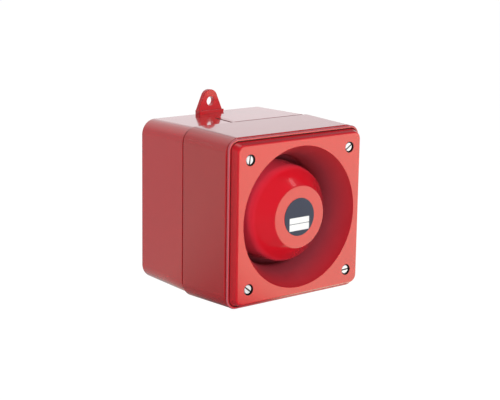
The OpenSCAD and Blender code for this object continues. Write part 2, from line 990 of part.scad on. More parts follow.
function lead_ring(path, i) =
    let (ahead = heading(path, i), u = unit(cross(ahead, [1, 0, 0])), v = cross(ahead, u))
    [for (k = [0:lead_sides - 1])
        let (a = 360 * k / lead_sides)
        path[i] + lead_r * (cos(a) * u + sin(a) * v)];

module lead(path) {
    last = len(path) - 1;
    polyhedron(
        points = [for (i = [0:last]) each lead_ring(path, i)],
        faces = concat(
            [[for (k = [0:lead_sides - 1]) k]],
            [for (i = [0:last - 1], k = [0:lead_sides - 1])
                let (next = (k + 1) % lead_sides, here = i * lead_sides)
                [here + next, here + k, here + lead_sides + k, here + lead_sides + next]],
            [[for (k = [lead_sides - 1:-1:0]) last * lead_sides + k]]
        )
    );
}

module driver_leads() {
    color([0.12, 0.12, 0.13])
        from_wall()
            for (side = [0, 1])
                mirror([side, 0, 0])
                    lead(lead_route);
}

module circuit_board() {
    color([0.10, 0.38, 0.22])
        from_wall()
            translate([0, 0, board_back])
                linear_extrude(height = board_t)
                    difference() {
                        rounded_rect(board_w, board_h, board_corner_r);
                        at_corners(board_hole_x, board_hole_y)
                            circle(board_screw_r + close_fit);
                    }
}

module board_screws() {
    color(steel)
        from_wall()
            at_corners(board_hole_x, board_hole_y)
                translate([0, 0, board_top])
                    difference() {
                        union() {
                            cylinder(r = board_head_r, h = board_head_h);
                            translate([0, 0, -board_t - board_gap + cut])
                                cylinder(r = board_screw_r, h = board_t + board_gap - cut);
                        }
                        mirror([0, 0, 1])
                            cross_recess(-board_head_h, board_head_r);
                    }
}

// Laminated core: two side limbs, a middle limb and the yokes over them
module transformer_core() {
    color([0.30, 0.30, 0.33])
        from_wall()
            translate([transformer_at[0], transformer_at[1], board_top + transformer_h / 2])
                difference() {
                    cube([transformer_w, core_t, transformer_h], center = true);
                    for (side = [-1, 1])
                        translate([side * core_limb, 0, 0])
                            cube([core_limb, transformer_l, transformer_h - 2 * core_yoke], center = true);
                }
}

// Winding around the middle limb
module transformer_coil() {
    color([0.85, 0.72, 0.25])
        from_wall()
            translate([transformer_at[0], transformer_at[1], board_top + transformer_h / 2])
                difference() {
                    cube([
                        3 * core_limb - 2 * close_fit, transformer_l,
                        transformer_h - 2 * core_yoke - 2 * close_fit
                    ], center = true);
                    cube([
                        core_limb + 2 * close_fit, core_t + 2 * close_fit, transformer_h
                    ], center = true);
                }
}

module capacitors() {
    color([0.15, 0.18, 0.32])
        from_wall()
            for (site = capacitor_sites)
                translate([site[0], site[1], board_top])
                    rotate_extrude() {
                        r = capacitor_r - capacitor_step * site[2];
                        polygon([
                            [0, 0], [r, 0], [r, crimp_at - crimp_w], [r - crimp_d, crimp_at],
                            [r, crimp_at + crimp_w], [r, capacitor_h - capacitor_round],
                            [r - capacitor_round, capacitor_h], [0, capacitor_h]
                        ]);
                    }
}

module terminal_ways_at() {
    for (i = [0:terminal_ways - 1])
        translate([
            terminal_at[0] + (i - (terminal_ways - 1) / 2) * terminal_pitch, terminal_at[1], board_top
        ])
            children();
}

// Block with a stepped front, a wire hole below and a screw shaft above in each way
module terminal_block() {
    w = terminal_ways * terminal_pitch;
    color([0.20, 0.45, 0.28])
        from_wall()
            difference() {
                translate([terminal_at[0] - w / 2, terminal_at[1], board_top])
                    rotate([90, 0, 90])
                        linear_extrude(height = w)
                            polygon([
                                [-terminal_l / 2, 0], [terminal_l / 2, 0],
                                [terminal_l / 2, terminal_shoulder], [terminal_l / 4, terminal_h],
                                [-terminal_l / 4, terminal_h], [-terminal_l / 2, terminal_shoulder]
                            ]);
                terminal_ways_at() {
                    translate([0, 0, terminal_shaft])
                        cylinder(r = terminal_screw_r + close_fit, h = terminal_h);
                    translate([0, 0, wire_level])
                        rotate([90, 0, 0])
                            cylinder(r = wire_hole_r, h = terminal_l);
                }
            }
}

module terminal_screws() {
    color(steel)
        from_wall()
            terminal_ways_at()
                translate([0, 0, terminal_shaft])
                    difference() {
                        cylinder(r = terminal_screw_r, h = terminal_h * 0.3);
                        translate([-terminal_pitch / 2, -slot_w / 4, terminal_h * 0.2])
                            cube([terminal_pitch, slot_w / 2, terminal_h]);
                    }
}

module lead_header() {
    color([0.90, 0.89, 0.84])
        from_wall()
            translate([header_at[0], header_at[1], board_top])
                difference() {
                    translate([-header_w / 2, -header_l / 2, 0])
                        cube([header_w, header_l, header_h]);
                    translate([-header_w / 6, -header_l / 2 - cut, header_h / 2])
                        cube([header_w / 3, cut + header_l / 6, header_h]);
                }
}

// Two sprung clips that hold the ends of the fuse
module fuse_clips() {
    seat = fuse_r + clip_t;
    color(brass)
        from_wall()
            for (side = [-1, 1])
                translate([
                    fuse_at[0] + side * (fuse_l - clip_w) / 2 - clip_w / 2, fuse_at[1], board_top
                ])
                    rotate([90, 0, 90])
                        linear_extrude(height = clip_w)
                            difference() {
                                union() {
                                    translate([-seat, 0])
                                        square([2 * seat, clip_t]);
                                    translate([-clip_t, 0])
                                        square([2 * clip_t, fuse_lift]);
                                    translate([0, fuse_lift])
                                        circle(seat);
                                }
                                translate([0, fuse_lift])
                                    circle(fuse_r + run_fit);
                                translate([-fuse_r * 0.7, fuse_lift])
                                    square([fuse_r * 1.4, 2 * seat]);
                            }
}

module fuse() {
    color([0.80, 0.85, 0.86])
        from_wall()
            translate([fuse_at[0] - fuse_l / 2, fuse_at[1], board_top + fuse_lift])
                rotate([0, 90, 0])
                    rotate_extrude()
                        polygon([
                            [0, 0], [fuse_r, 0], [fuse_r, clip_w], [fuse_glass_r, clip_w],
                            [fuse_glass_r, fuse_l - clip_w], [fuse_r, fuse_l - clip_w],
                            [fuse_r, fuse_l], [0, fuse_l]
                        ]);
}

// Chips with two rows of gull-wing leads
module sound_chips() {
    color(seal_black)
        from_wall()
            for (site = chip_sites)
                translate([site[0], site[1], board_top]) {
                    translate([-chip_size[0] / 2, -chip_size[1] / 2, 0])
                        cube(chip_size);
                    for (i = [0:chip_leads - 1], side = [0, 1])
                        mirror([0, side, 0])
                            translate([
                                (i - (chip_leads - 1) / 2) * chip_size[0] / chip_leads - chip_lead_w / 2,
                                chip_size[1] / 2, 0
                            ])
                                cube([chip_lead_w, chip_lead_l, chip_lead_w]);
                }
}

function tone_x(i) = tone_at[0] + (i - (tone_ways - 1) / 2) * tone_pitch;

// Slots leave a gap all round the slider over its travel
module tone_switch() {
    slot = [tone_slider[0] + 2 * free_gap, tone_slider[1] + tone_travel + 2 * free_gap];
    color([0.15, 0.25, 0.60])
        from_wall()
            difference() {
                translate([tone_at[0] - tone_body[0] / 2, tone_at[1] - tone_body[1] / 2, board_top])
                    cube(tone_body);
                for (i = [0:tone_ways - 1])
                    translate([
                        tone_x(i) - slot[0] / 2, tone_at[1] - slot[1] / 2,
                        board_top + tone_body[2] - tone_slot_depth
                    ])
                        cube([slot[0], slot[1], tone_slot_depth + cut]);
            }
}

module tone_slider(i) {
    color("white")
        from_wall()
            translate([
                tone_x(i) - tone_slider[0] / 2, tone_at[1] - (tone_slider[1] + tone_travel) / 2,
                board_top + tone_body[2] - tone_slot_depth + free_gap
            ])
                cube(tone_slider);
}

module volume_body() {
    color([0.15, 0.30, 0.65])
        from_wall()
            translate([volume_at[0], volume_at[1], board_top])
                difference() {
                    translate([-volume_w / 2, -volume_w / 2, 0])
                        cube([volume_w, volume_w, volume_h]);
                    translate([0, 0, volume_h - volume_depth])
                        cylinder(r = volume_r + run_fit, h = volume_depth + cut);
                }
}

module volume_rotor() {
    color("white")
        from_wall()
            translate([volume_at[0], volume_at[1], board_top + volume_h - volume_depth + run_fit])
                difference() {
                    cylinder(r = volume_r, h = volume_depth);
                    translate([-volume_r * 0.8, -slot_w / 4, volume_depth - slot_d])
                        cube([volume_r * 1.6, slot_w / 2, slot_d + cut]);
                    translate([0, -slot_w / 4, volume_depth - slot_d])
                        rotate([0, 0, 45])
                            cube([slot_w / 2, slot_w / 2, slot_d + cut]);
                }
}

// Gland pieces are drawn downwards from the outer face of the pad
module at_gland() {
    from_wall()
        translate([gland_x, -pad_out, gland_d])
            rotate([90, 0, 0])
                children();
}

module gland_ring() {
    color(seal_black)
        at_gland()
            ring(gland_thread_r + ring_w, gland_thread_r + close_fit, ring_t);
}

module gland_body() {
    thread_l = pad_t + locknut_t + 1;
    color(dark_grey)
        at_gland()
            difference() {
                union() {
                    translate([0, 0, -thread_l])
                        cylinder(r = gland_thread_r, h = thread_l + ring_t + gland_flange_t / 2);
                    translate([0, 0, ring_t])
                        hex_prism(gland_hex, gland_flange_t);
                    translate([0, 0, ring_t])
                        cylinder(r = gland_neck_r, h = gland_flange_t + gland_neck_l);
                }
                translate([0, 0, -thread_l - cut])
                    cylinder(r = gland_bore_r, h = thread_l + gland_flange_t + gland_neck_l + 2 * cut);
                translate([0, 0, ring_t + gland_flange_t + gland_neck_l - gland_seal_l])
                    cylinder(r = gland_seal_r + run_fit, h = gland_seal_l + cut);
            }
}

module gland_locknut() {
    color(dark_grey)
        at_gland()
            translate([0, 0, -pad_t - locknut_t])
                difference() {
                    hex_prism(gland_hex, locknut_t);
                    translate([0, 0, -cut])
                        cylinder(r = gland_thread_r + run_fit, h = locknut_t + 2 * cut);
                }
}

module gland_seal() {
    color(seal_black)
        at_gland()
            translate([0, 0, ring_t + gland_flange_t + gland_neck_l - gland_seal_l])
                ring(gland_seal_r, cable_r, gland_seal_l);
}

// Domed nut: hexagon, then a shoulder that rounds in to the cable hole
module gland_cap() {
    nut_back = ring_t + gland_flange_t + gland_cap_gap;
    nut_front = ring_t + gland_flange_t + gland_neck_l;
    nut_r = gland_neck_r + run_fit + gland_cap_wall;
    hex_l = gland_cap_l / 2;
    dome_l = nut_front + gland_cap_wall - nut_back - hex_l;
    dome_w = nut_r - gland_bore_r;
    color(dark_grey)
        at_gland()
            difference() {
                union() {
                    translate([0, 0, nut_back])
                        hex_prism(gland_hex, hex_l);
                    translate([0, 0, nut_back])
                        rotate_extrude()
                            polygon(concat(
                                [[0, 0], [nut_r, 0]],
                                [for (a = [0:15:75])
                                    [gland_bore_r + dome_w * cos(a), hex_l + dome_l * sin(a)]],
                                [[gland_bore_r, hex_l + dome_l], [0, hex_l + dome_l]]
                            ));
                }
                translate([0, 0, nut_back - cut])
                    cylinder(r = gland_neck_r + run_fit, h = nut_front - nut_back + cut);
                translate([0, 0, nut_back])
                    cylinder(r = cable_r + close_fit, h = gland_cap_l + gland_neck_l);
            }
}

rear_housing();
housing_seal();
front_housing();
front_seal();
horn_front();
throat_tube();
horn_bell();
label_disc();
cover_screws();
screw_washers();
threaded_inserts();
driver_gasket();
driver_cover();
phase_plug();
diaphragm();
diaphragm_surround();
voice_coil();
driver_frame();
pole_plate();
magnet_ring();
yoke();
driver_screws();
terminal_strip();
terminal_blades();
driver_leads();
circuit_board();
board_screws();
transformer_core();
transformer_coil();
capacitors();
terminal_block();
terminal_screws();
lead_header();
fuse_clips();
fuse();
sound_chips();
tone_switch();
tone_slider(0);  // tone_slider_1
tone_slider(1);  // tone_slider_2
tone_slider(2);  // tone_slider_3
tone_slider(3);  // tone_slider_4
tone_slider(4);  // tone_slider_5
volume_body();
volume_rotor();
gland_body();
gland_ring();
gland_locknut();
gland_seal();
gland_cap();
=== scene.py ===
import json
import math

import bmesh
import bpy
from mathutils import Matrix, Vector


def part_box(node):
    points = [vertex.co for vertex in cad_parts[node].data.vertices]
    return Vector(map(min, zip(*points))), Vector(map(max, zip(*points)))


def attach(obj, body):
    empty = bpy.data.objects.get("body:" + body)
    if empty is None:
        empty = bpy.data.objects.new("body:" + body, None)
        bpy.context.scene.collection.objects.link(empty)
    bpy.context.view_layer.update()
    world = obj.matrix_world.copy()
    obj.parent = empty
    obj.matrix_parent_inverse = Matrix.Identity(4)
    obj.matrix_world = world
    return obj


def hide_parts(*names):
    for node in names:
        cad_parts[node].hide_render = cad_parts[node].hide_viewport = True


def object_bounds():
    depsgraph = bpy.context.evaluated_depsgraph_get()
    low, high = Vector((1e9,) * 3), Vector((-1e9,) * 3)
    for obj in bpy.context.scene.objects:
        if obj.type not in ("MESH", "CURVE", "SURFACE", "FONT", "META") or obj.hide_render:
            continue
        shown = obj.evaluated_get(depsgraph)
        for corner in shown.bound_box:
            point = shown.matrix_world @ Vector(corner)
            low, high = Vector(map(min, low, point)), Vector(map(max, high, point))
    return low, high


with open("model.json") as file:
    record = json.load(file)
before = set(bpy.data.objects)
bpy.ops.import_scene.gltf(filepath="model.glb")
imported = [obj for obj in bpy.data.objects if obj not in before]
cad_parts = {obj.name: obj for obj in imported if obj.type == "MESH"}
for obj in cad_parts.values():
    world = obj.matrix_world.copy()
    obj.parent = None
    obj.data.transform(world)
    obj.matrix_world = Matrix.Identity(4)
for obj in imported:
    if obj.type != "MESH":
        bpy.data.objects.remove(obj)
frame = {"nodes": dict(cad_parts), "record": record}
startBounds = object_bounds()
scene = bpy.context.scene
nodes = frame["nodes"]
slotOf = {part["node"]: part["material_slot"] for part in frame["record"]["subparts"]}
mm = 0.001
cornerSigns = ((-1, -1), (1, -1), (1, 1), (-1, 1))
print("frame loaded")


def boxOf(node):
    low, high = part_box(node)
    return Vector(low) / mm, Vector(high) / mm


# Sizes in millimetres that several pieces share, read from the frame where it shows them
rearLow, rearHigh = boxOf("rear_housing")
frontLow, frontHigh = boxOf("front_housing")
hornLow = boxOf("horn_front")[0]
bellLow, bellHigh = boxOf("horn_bell")
tubeLow, tubeHigh = boxOf("throat_tube")
labelLow, labelHigh = boxOf("label_disc")
screwLow, screwHigh = boxOf("cover_screws")
ringLow, ringHigh = boxOf("gland_ring")
nutLow = boxOf("gland_locknut")[0]
case = {
    "seamDepth": -rearLow.y,
    "rearSeamHalf": rearHigh.x,
    "frontSeamHalf": frontHigh.x,
    "flangeBack": -frontLow.y,
    "faceDepth": -hornLow.y,
    "rearDraft": math.radians(1.0), "frontDraft": math.radians(1.7), "screwAt": 51.35,
    "cornerR": 12.5, "cornerSteps": 14, "wall": 3.0, "weld": 0.002, "slack": 0.01, "near": 0.1,
}
frontRun = case["flangeBack"] - case["seamDepth"]
case["frontHalf"] = case["frontSeamHalf"] - frontRun * math.tan(case["frontDraft"])
case["wallHalf"] = case["rearSeamHalf"] - case["seamDepth"] * math.tan(case["rearDraft"])
screwSites = [(sx * case["screwAt"], sz * case["screwAt"]) for sx, sz in cornerSigns]


def addRounded(bm, spots, depth, radius, steps):  # flat face with round corners that looks out from the wall
    corners = [bm.verts.new((x, -depth, z)) for x, z in spots]
    bm.faces.new(corners)
    bmesh.ops.bevel(
        bm, geom=corners, offset=radius, offset_type="OFFSET", segments=steps,
        profile=0.5, affect="VERTICES", material=-1,
    )
    bm.faces.ensure_lookup_table()
    return bm.faces[-1]


def addSquare(bm, half, radius, depth):
    spots = [(sx * half, sz * half) for sx, sz in cornerSigns]
    return addRounded(bm, spots, depth, radius, case["cornerSteps"])


def dropFaces(bm, faces):
    bmesh.ops.delete(bm, geom=faces, context="FACES_ONLY")


def pushFace(bm, face, forward, grow=1.0, keep=False):  # forward is away from the wall
    made = bmesh.ops.extrude_face_region(bm, geom=[face])
    cap = [item for item in made["geom"] if isinstance(item, bmesh.types.BMFace)][0]
    bmesh.ops.translate(bm, verts=cap.verts, vec=(0, -forward, 0))
    bmesh.ops.scale(bm, verts=cap.verts, vec=(grow, 1, grow))
    if not keep:
        dropFaces(bm, [face])
    return cap


def extrude(bm, faces, offset):
    made = bmesh.ops.extrude_face_region(bm, geom=faces)
    moved = [item for item in made["geom"] if isinstance(item, bmesh.types.BMVert)]
    bmesh.ops.translate(bm, verts=moved, vec=offset)


def inset(bm, faces, thickness, depth=0.0):
    return bmesh.ops.inset_region(
        bm, faces=faces, thickness=thickness, depth=depth, use_even_offset=True,
    )["faces"]


def roundReach(point, core):  # distance from the core square, as a rounded square measures it
    return math.hypot(max(abs(point.x) - core, 0), max(abs(point.z) - core, 0))


def edgesAt(bm, depth, half, radius, slack=0.12):
    def near(vert):
        return abs(vert.co.y + depth) < slack and abs(roundReach(vert.co, half - radius) - radius) < slack
    return [edge for edge in bm.edges if near(edge.verts[0]) and near(edge.verts[1])]


def liesAt(item, depth):  # a face or an edge that is flat at this depth
    return all(abs(vert.co.y + depth) < case["slack"] for vert in item.verts)


def softEdges(bm, edges, width, steps):
    return bmesh.ops.bevel(
        bm, geom=edges, offset=width, offset_type="OFFSET", segments=steps, profile=0.5,
        affect="EDGES", material=-1, clamp_overlap=True,
    )["faces"]


def facing(depth):  # places a circle flat at this depth
    return Matrix.Translation((0, -depth, 0)) @ Matrix.Rotation(math.pi / 2, 4, "X")


def addRing(bm, radius, steps, place):
    ring = bmesh.ops.create_circle(bm, cap_ends=False, radius=radius, segments=steps, matrix=place)["verts"]
    return list(dict.fromkeys(edge for vert in ring for edge in vert.link_edges))


def openFlat(bm, depth):  # takes away what is flat at this depth and returns the edge round it
    flats = [face for face in bm.faces if liesAt(face, depth)]
    edge = [e for f in flats for e in f.edges if len([n for n in e.link_faces if n in flats]) == 1]
    dropFaces(bm, flats)
    return edge


def fillFlat(bm, edges, normal):
    bmesh.ops.triangle_fill(bm, use_beauty=True, use_dissolve=False, edges=edges, normal=normal)


def arcPoints(centre, radius, start, end, steps):  # angles in degrees, zero points away from the axis
    turns = [math.radians(start + (end - start) * step / steps) for step in range(steps + 1)]
    return [(centre[0] + radius * math.cos(turn), centre[1] + radius * math.sin(turn)) for turn in turns]


def spinProfile(points, steps, closed=False, bm=None):  # radius and depth, turned about the horn's axis
    bm = bmesh.new() if bm is None else bm
    verts = [bm.verts.new((radius, -depth, 0)) for radius, depth in points]
    ends = verts[1:] + verts[:1] if closed else verts[1:]
    edges = [bm.edges.new(pair) for pair in zip(verts, ends)]
    bmesh.ops.spin(
        bm, geom=verts + edges, cent=(0, 0, 0), axis=(0, 1, 0), dvec=(0, 0, 0),
        angle=math.tau, steps=steps, use_merge=True, use_duplicate=False,
    )
    return bm


def paint(faces, index):
    for face in faces:
        face.material_index = index


def turnMesh(bm, angle, axis):
    bmesh.ops.rotate(bm, verts=bm.verts, cent=(0, 0, 0), matrix=Matrix.Rotation(angle, 3, axis))


def moveMesh(bm, offset):
    bmesh.ops.translate(bm, verts=bm.verts, vec=offset)


def faceOut(bm):
    bmesh.ops.recalc_face_normals(bm, faces=bm.faces)


def joinInto(bm, other):  # other is used up
    mesh = bpy.data.meshes.new("join")
    other.to_mesh(mesh)
    other.free()
    bm.from_mesh(mesh)
    bpy.data.meshes.remove(mesh)


def joinAt(bm, other, x, z):
    moveMesh(other, (x, 0, z))
    joinInto(bm, other)


def finishMesh(name, bm, angle):
    bmesh.ops.remove_doubles(bm, verts=bm.verts, dist=case["weld"])
    faceOut(bm)
    bmesh.ops.scale(bm, verts=bm.verts, vec=(mm, mm, mm))
    mesh = bpy.data.meshes.new(name)
    bm.to_mesh(mesh)
    bm.free()
    mesh.shade_smooth()
    mesh.set_sharp_from_angle(angle=math.radians(angle))
    return mesh


def addPiece(name, bm, slotName, replaced, body="case", angle=34, materials=()):
    piece = bpy.data.objects.new(name, finishMesh(name, bm, angle))
    scene.collection.objects.link(piece)
    for material in materials or (finishes[slotName],):
        piece.data.materials.append(material)
    normals = piece.modifiers.new("evenNormals", "WEIGHTED_NORMAL")
    normals.keep_sharp = True
    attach(piece, body)
    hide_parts(*replaced)
    print("piece", name, len(piece.data.polygons), "faces")
    return piece


# Materials
def newGroup(name, inputs, outputs):
    tree = bpy.data.node_groups.new(name, "ShaderNodeTree")
    for label, value in inputs.items():
        kind = "Float" if isinstance(value, float) else "Color" if len(value) == 4 else "Vector"
        socket = tree.interface.new_socket(label, in_out="INPUT", socket_type="NodeSocket" + kind)
        socket.default_value = value
    for label, kind in outputs.items():
        tree.interface.new_socket(label, in_out="OUTPUT", socket_type="NodeSocket" + kind)
    return tree, tree.nodes.new("NodeGroupInput"), tree.nodes.new("NodeGroupOutput")


def setInputs(node, values):
    for name, value in values.items():
        node.inputs[name].default_value = value


def addNode(tree, kind, values=None, **settings):  # values go to its inputs
    node = tree.nodes.new(kind)
    for name, value in settings.items():
        setattr(node, name, value)
    setInputs(node, values or {})
    return node


def link(source, target):  # a number or a plain colour is written into the target
    if isinstance(source, bpy.types.NodeSocket):
        target.id_data.links.new(source, target)
    else:
        target.default_value = (*source, 1) if isinstance(source, tuple) else source


def calc(operation, first, second):
    node = addNode(first.id_data, "ShaderNodeMath", operation=operation)
    link(first, node.inputs[0])
    link(second, node.inputs[1])
    return node.outputs[0]


def mapRange(source, low, high, start=0.0, end=1.0):
    node = addNode(source.id_data, "ShaderNodeMapRange", {1: low, 2: high, 3: start, 4: end})
    link(source, node.inputs[0])
    return node.outputs[0]


def mixColours(share, first, second):
    node = addNode(share.id_data, "ShaderNodeMix", data_type="RGBA")
    for name, value in (("Factor", share), ("A", first), ("B", second)):
        link(value, node.inputs[name])
    return node.outputs["Result"]


def placeOn(tree, **turns):  # the object's own coordinates, turned or scaled
    place = addNode(tree, "ShaderNodeTexCoord").outputs["Object"]
    if not turns:
        return place
    mapping = addNode(tree, "ShaderNodeMapping", {name.capitalize(): value for name, value in turns.items()})
    link(place, mapping.inputs["Vector"])
    return mapping.outputs["Vector"]


skinOutputs = {"Colour": "Color", "Roughness": "Float", "Height": "Float"}
relief = {"skin": 0.0002, "metal": 0.0001, "winding": 0.0002, "copper": 0.0001}  # metres


def makeSkinGroup():  # moulded skin: fine grain, slow patches of gloss and colour, a little dust
    look = {
        "dustColour": (0.75, 0.72, 0.7), "dustFrom": 0.62, "dustFull": 0.72, "dustRough": 2.0,
        "speckShare": 0.55, "speckIn": 0.05, "speckOut": 0.16, "swingRough": 0.8,
    }
    tree, given, result = newGroup("mouldedSkin", {
        "Colour": (0.5, 0.5, 0.5, 1), "Roughness": 0.3, "Grain Scale": 900.0, "Patch Scale": 22.0,
        "Spread": 0.1, "Dust": 0.05,
    }, skinOutputs)
    place = placeOn(tree)
    grain = addNode(tree, "ShaderNodeTexNoise", {"Detail": 2.0, "Roughness": 0.55})
    patch = addNode(tree, "ShaderNodeTexNoise", {"Detail": 3.0, "Roughness": 0.6})
    specks = addNode(tree, "ShaderNodeTexVoronoi", feature="F1")
    speckScale = calc("MULTIPLY", given.outputs["Grain Scale"], look["speckShare"])
    scales = (given.outputs["Grain Scale"], given.outputs["Patch Scale"], speckScale)
    for texture, scale in zip((grain, patch, specks), scales):
        link(place, texture.inputs["Vector"])
        link(scale, texture.inputs["Scale"])
    spot = mapRange(specks.outputs["Distance"], look["speckIn"], look["speckOut"], 1.0, 0.0)
    sparse = mapRange(patch.outputs["Fac"], look["dustFrom"], look["dustFull"])
    dust = calc("MULTIPLY", calc("MULTIPLY", spot, sparse), given.outputs["Dust"])
    uneven = calc("SUBTRACT", patch.outputs["Fac"], 0.5)
    swing = calc("MULTIPLY", uneven, given.outputs["Spread"])
    shade = addNode(tree, "ShaderNodeHueSaturation")
    link(given.outputs["Colour"], shade.inputs["Color"])
    link(calc("ADD", swing, 1.0), shade.inputs["Value"])
    link(mixColours(dust, shade.outputs["Color"], look["dustColour"]), result.inputs["Colour"])
    rough = calc("ADD", given.outputs["Roughness"], calc("MULTIPLY", swing, look["swingRough"]))
    dusty = calc("MULTIPLY", dust, look["dustRough"])
    link(calc("ADD", rough, dusty), result.inputs["Roughness"])
    link(grain.outputs["Fac"], result.inputs["Height"])
    return tree


def makeMetalGroup():  # drawn or turned metal: long fine lines, tarnish in patches
    look = {"stretch": (1.0, 1.0, 0.06), "patch": 160.0, "wornFrom": 0.48, "wornFull": 0.75}
    tree, given, result = newGroup("drawnMetal", {
        "Colour": (0.6, 0.6, 0.6, 1), "Tarnish": (0.3, 0.3, 0.3, 1), "Roughness": 0.3,
        "Line Scale": 1500.0, "Spread": 0.15,
    }, skinOutputs)
    lines = addNode(tree, "ShaderNodeTexNoise", {"Detail": 2.0, "Roughness": 0.5})
    link(placeOn(tree, scale=look["stretch"]), lines.inputs["Vector"])
    link(given.outputs["Line Scale"], lines.inputs["Scale"])
    patch = addNode(tree, "ShaderNodeTexNoise", {"Scale": look["patch"], "Detail": 4.0, "Roughness": 0.65})
    link(placeOn(tree), patch.inputs["Vector"])
    worn = mapRange(patch.outputs["Fac"], look["wornFrom"], look["wornFull"])
    tone = mixColours(worn, given.outputs["Colour"], given.outputs["Tarnish"])
    link(tone, result.inputs["Colour"])
    uneven = calc("SUBTRACT", lines.outputs["Fac"], 0.5)
    swing = calc("MULTIPLY", uneven, given.outputs["Spread"])
    wear = calc("MULTIPLY", worn, given.outputs["Spread"])
    rough = calc("ADD", given.outputs["Roughness"], swing)
    link(calc("ADD", rough, wear), result.inputs["Roughness"])
    link(lines.outputs["Fac"], result.inputs["Height"])
    return tree


skinGroup = makeSkinGroup()
metalGroup = makeMetalGroup()


def startMaterial(name):
    material = bpy.data.materials.new(name)
    material.use_nodes = True
    tree = material.node_tree
    return material, tree, tree.nodes["Principled BSDF"]


def bumpFrom(height, shader, distance, strength):
    bump = addNode(shader.id_data, "ShaderNodeBump", {"Strength": strength, "Distance": distance})
    link(height, bump.inputs["Height"])
    link(bump.outputs["Normal"], shader.inputs["Normal"])


def skinned(name, group, groupValues, shaderValues, distance, strength):
    material, tree, shader = startMaterial(name)
    skin = addNode(tree, "ShaderNodeGroup", groupValues, node_tree=group)
    link(skin.outputs["Colour"], shader.inputs["Base Color"])
    link(skin.outputs["Roughness"], shader.inputs["Roughness"])
    bumpFrom(skin.outputs["Height"], shader, distance, strength)
    setInputs(shader, shaderValues)
    return material


def plastic(
    name, colour, rough, grain=900, patch=22, spread=0.1, dust=0.05, bump=0.1,
    coat=0.0, coatRough=0.08, coatIor=1.5,
):
    skin = {
        "Colour": (*colour, 1), "Roughness": rough, "Grain Scale": grain, "Patch Scale": patch,
        "Spread": spread, "Dust": dust,
    }
    coating = {"Coat Weight": coat, "Coat IOR": coatIor, "Coat Roughness": coatRough}
    return skinned(name, skinGroup, skin, coating, relief["skin"], bump)


def metal(name, colour, tarnish, rough, lines=1500, spread=0.15, bump=0.08, metallic=1.0):
    drawn = {
        "Colour": (*colour, 1), "Tarnish": (*tarnish, 1), "Roughness": rough, "Line Scale": lines,
        "Spread": spread,
    }
    return skinned(name, metalGroup, drawn, {"Metallic": metallic}, relief["metal"], bump)


def paintedShadingByDepth(material, deep, deepAt, near, nearAt):  # painted light and shade: colour that changes with the distance from the wall
    tree = material.node_tree
    skin = next(node for node in tree.nodes if node.type == "GROUP")
    axes = addNode(tree, "ShaderNodeSeparateXYZ")
    link(placeOn(tree), axes.inputs[0])
    share = mapRange(axes.outputs["Y"], -deepAt, -nearAt)
    link(mixColours(share, deep, near), skin.inputs["Colour"])


def wound(name, colour, dark, pitch, turn, metallic):  # layers of wire or tape as fine bands
    look = {"waver": 0.3, "bump": 0.5, "rough": 0.35}
    material, tree, shader = startMaterial(name)
    pattern = {"Scale": 0.5 / pitch / math.pi, "Distortion": look["waver"]}
    bands = addNode(tree, "ShaderNodeTexWave", pattern, wave_type="BANDS", bands_direction="X")
    link(placeOn(tree, rotation=turn), bands.inputs["Vector"])
    link(mixColours(bands.outputs["Fac"], dark, colour), shader.inputs["Base Color"])
    bumpFrom(bands.outputs["Fac"], shader, relief["winding"], look["bump"])
    setInputs(shader, {"Roughness": look["rough"], "Metallic": metallic})
    return material


def boardSkin(name):  # solder mask with slightly paler copper runs under it
    look = {
        "mask": (0.012, 0.10, 0.045), "run": (0.03, 0.17, 0.075), "cell": 190.0, "width": 0.12, "fade": 1.3,
        "bump": 0.4, "rough": 0.3, "coat": 0.5,
    }
    material, tree, shader = startMaterial(name)
    cells = addNode(tree, "ShaderNodeTexVoronoi", {"Scale": look["cell"]}, feature="DISTANCE_TO_EDGE")
    link(placeOn(tree, scale=(1.0, 0.0, 1.0)), cells.inputs["Vector"])
    run = mapRange(cells.outputs["Distance"], look["width"], look["width"] * look["fade"], 1.0, 0.0)
    link(mixColours(run, look["mask"], look["run"]), shader.inputs["Base Color"])
    bumpFrom(run, shader, relief["copper"], look["bump"])
    setInputs(shader, {"Roughness": look["rough"], "Coat Weight": look["coat"]})
    return material


redLook = {
    "rough": 0.2, "grain": 750, "patch": 16, "spread": 0.07, "dust": 0.03, "bump": 0.03,
    "coat": 1.0, "coatRough": 0.05, "coatIor": 1.7,
}
dullLook = {**redLook, "rough": 0.6, "coat": 0.0}
reds = {  # case and horn are the mouldings' own red; front is a darker copy as painted shade, flare and mouth are painted shade inside the horn with a pale painted reflection, bell and skirt are lighter copies as painted light with a pale painted reflection on the skirt, seam and bore are painted shade, edge is a pink painted highlight
    "case": (0.60, 0.007, 0.015), "front": (0.49, 0.008, 0.014), "horn": (0.60, 0.007, 0.016),
    "flare": (0.31, 0.040, 0.057), "mouth": (0.43, 0.010, 0.019), "bell": (0.70, 0.005, 0.017),
    "skirt": (0.88, 0.055, 0.095), "seam": (0.09, 0.018, 0.018), "bore": (0.02, 0.006, 0.007),
    "edge": (0.46, 0.10, 0.125),
}
fade = {"deepAt": 0.105, "mouthAt": 0.1235, "shoulderAt": 0.112}  # metres from the wall, where the painted shading of flare and bell changes
# painted shade: the front housing is a darker copy of the case red
frontPaintedShade = plastic("frontPaintedShade", reds["front"], **redLook)
seamShade = plastic("seamShade", reds["seam"], **dullLook)
boreShade = plastic("boreShade", reds["bore"], **dullLook)
lugRed = plastic("lugRed", reds["case"], **{**redLook, "coat": 0.45})
# painted highlight: a pale pink red for rounded edges
edgePaintedHighlight = plastic("edgePaintedHighlight", reds["edge"], **{**redLook, "rough": 0.4, "coat": 0.3})
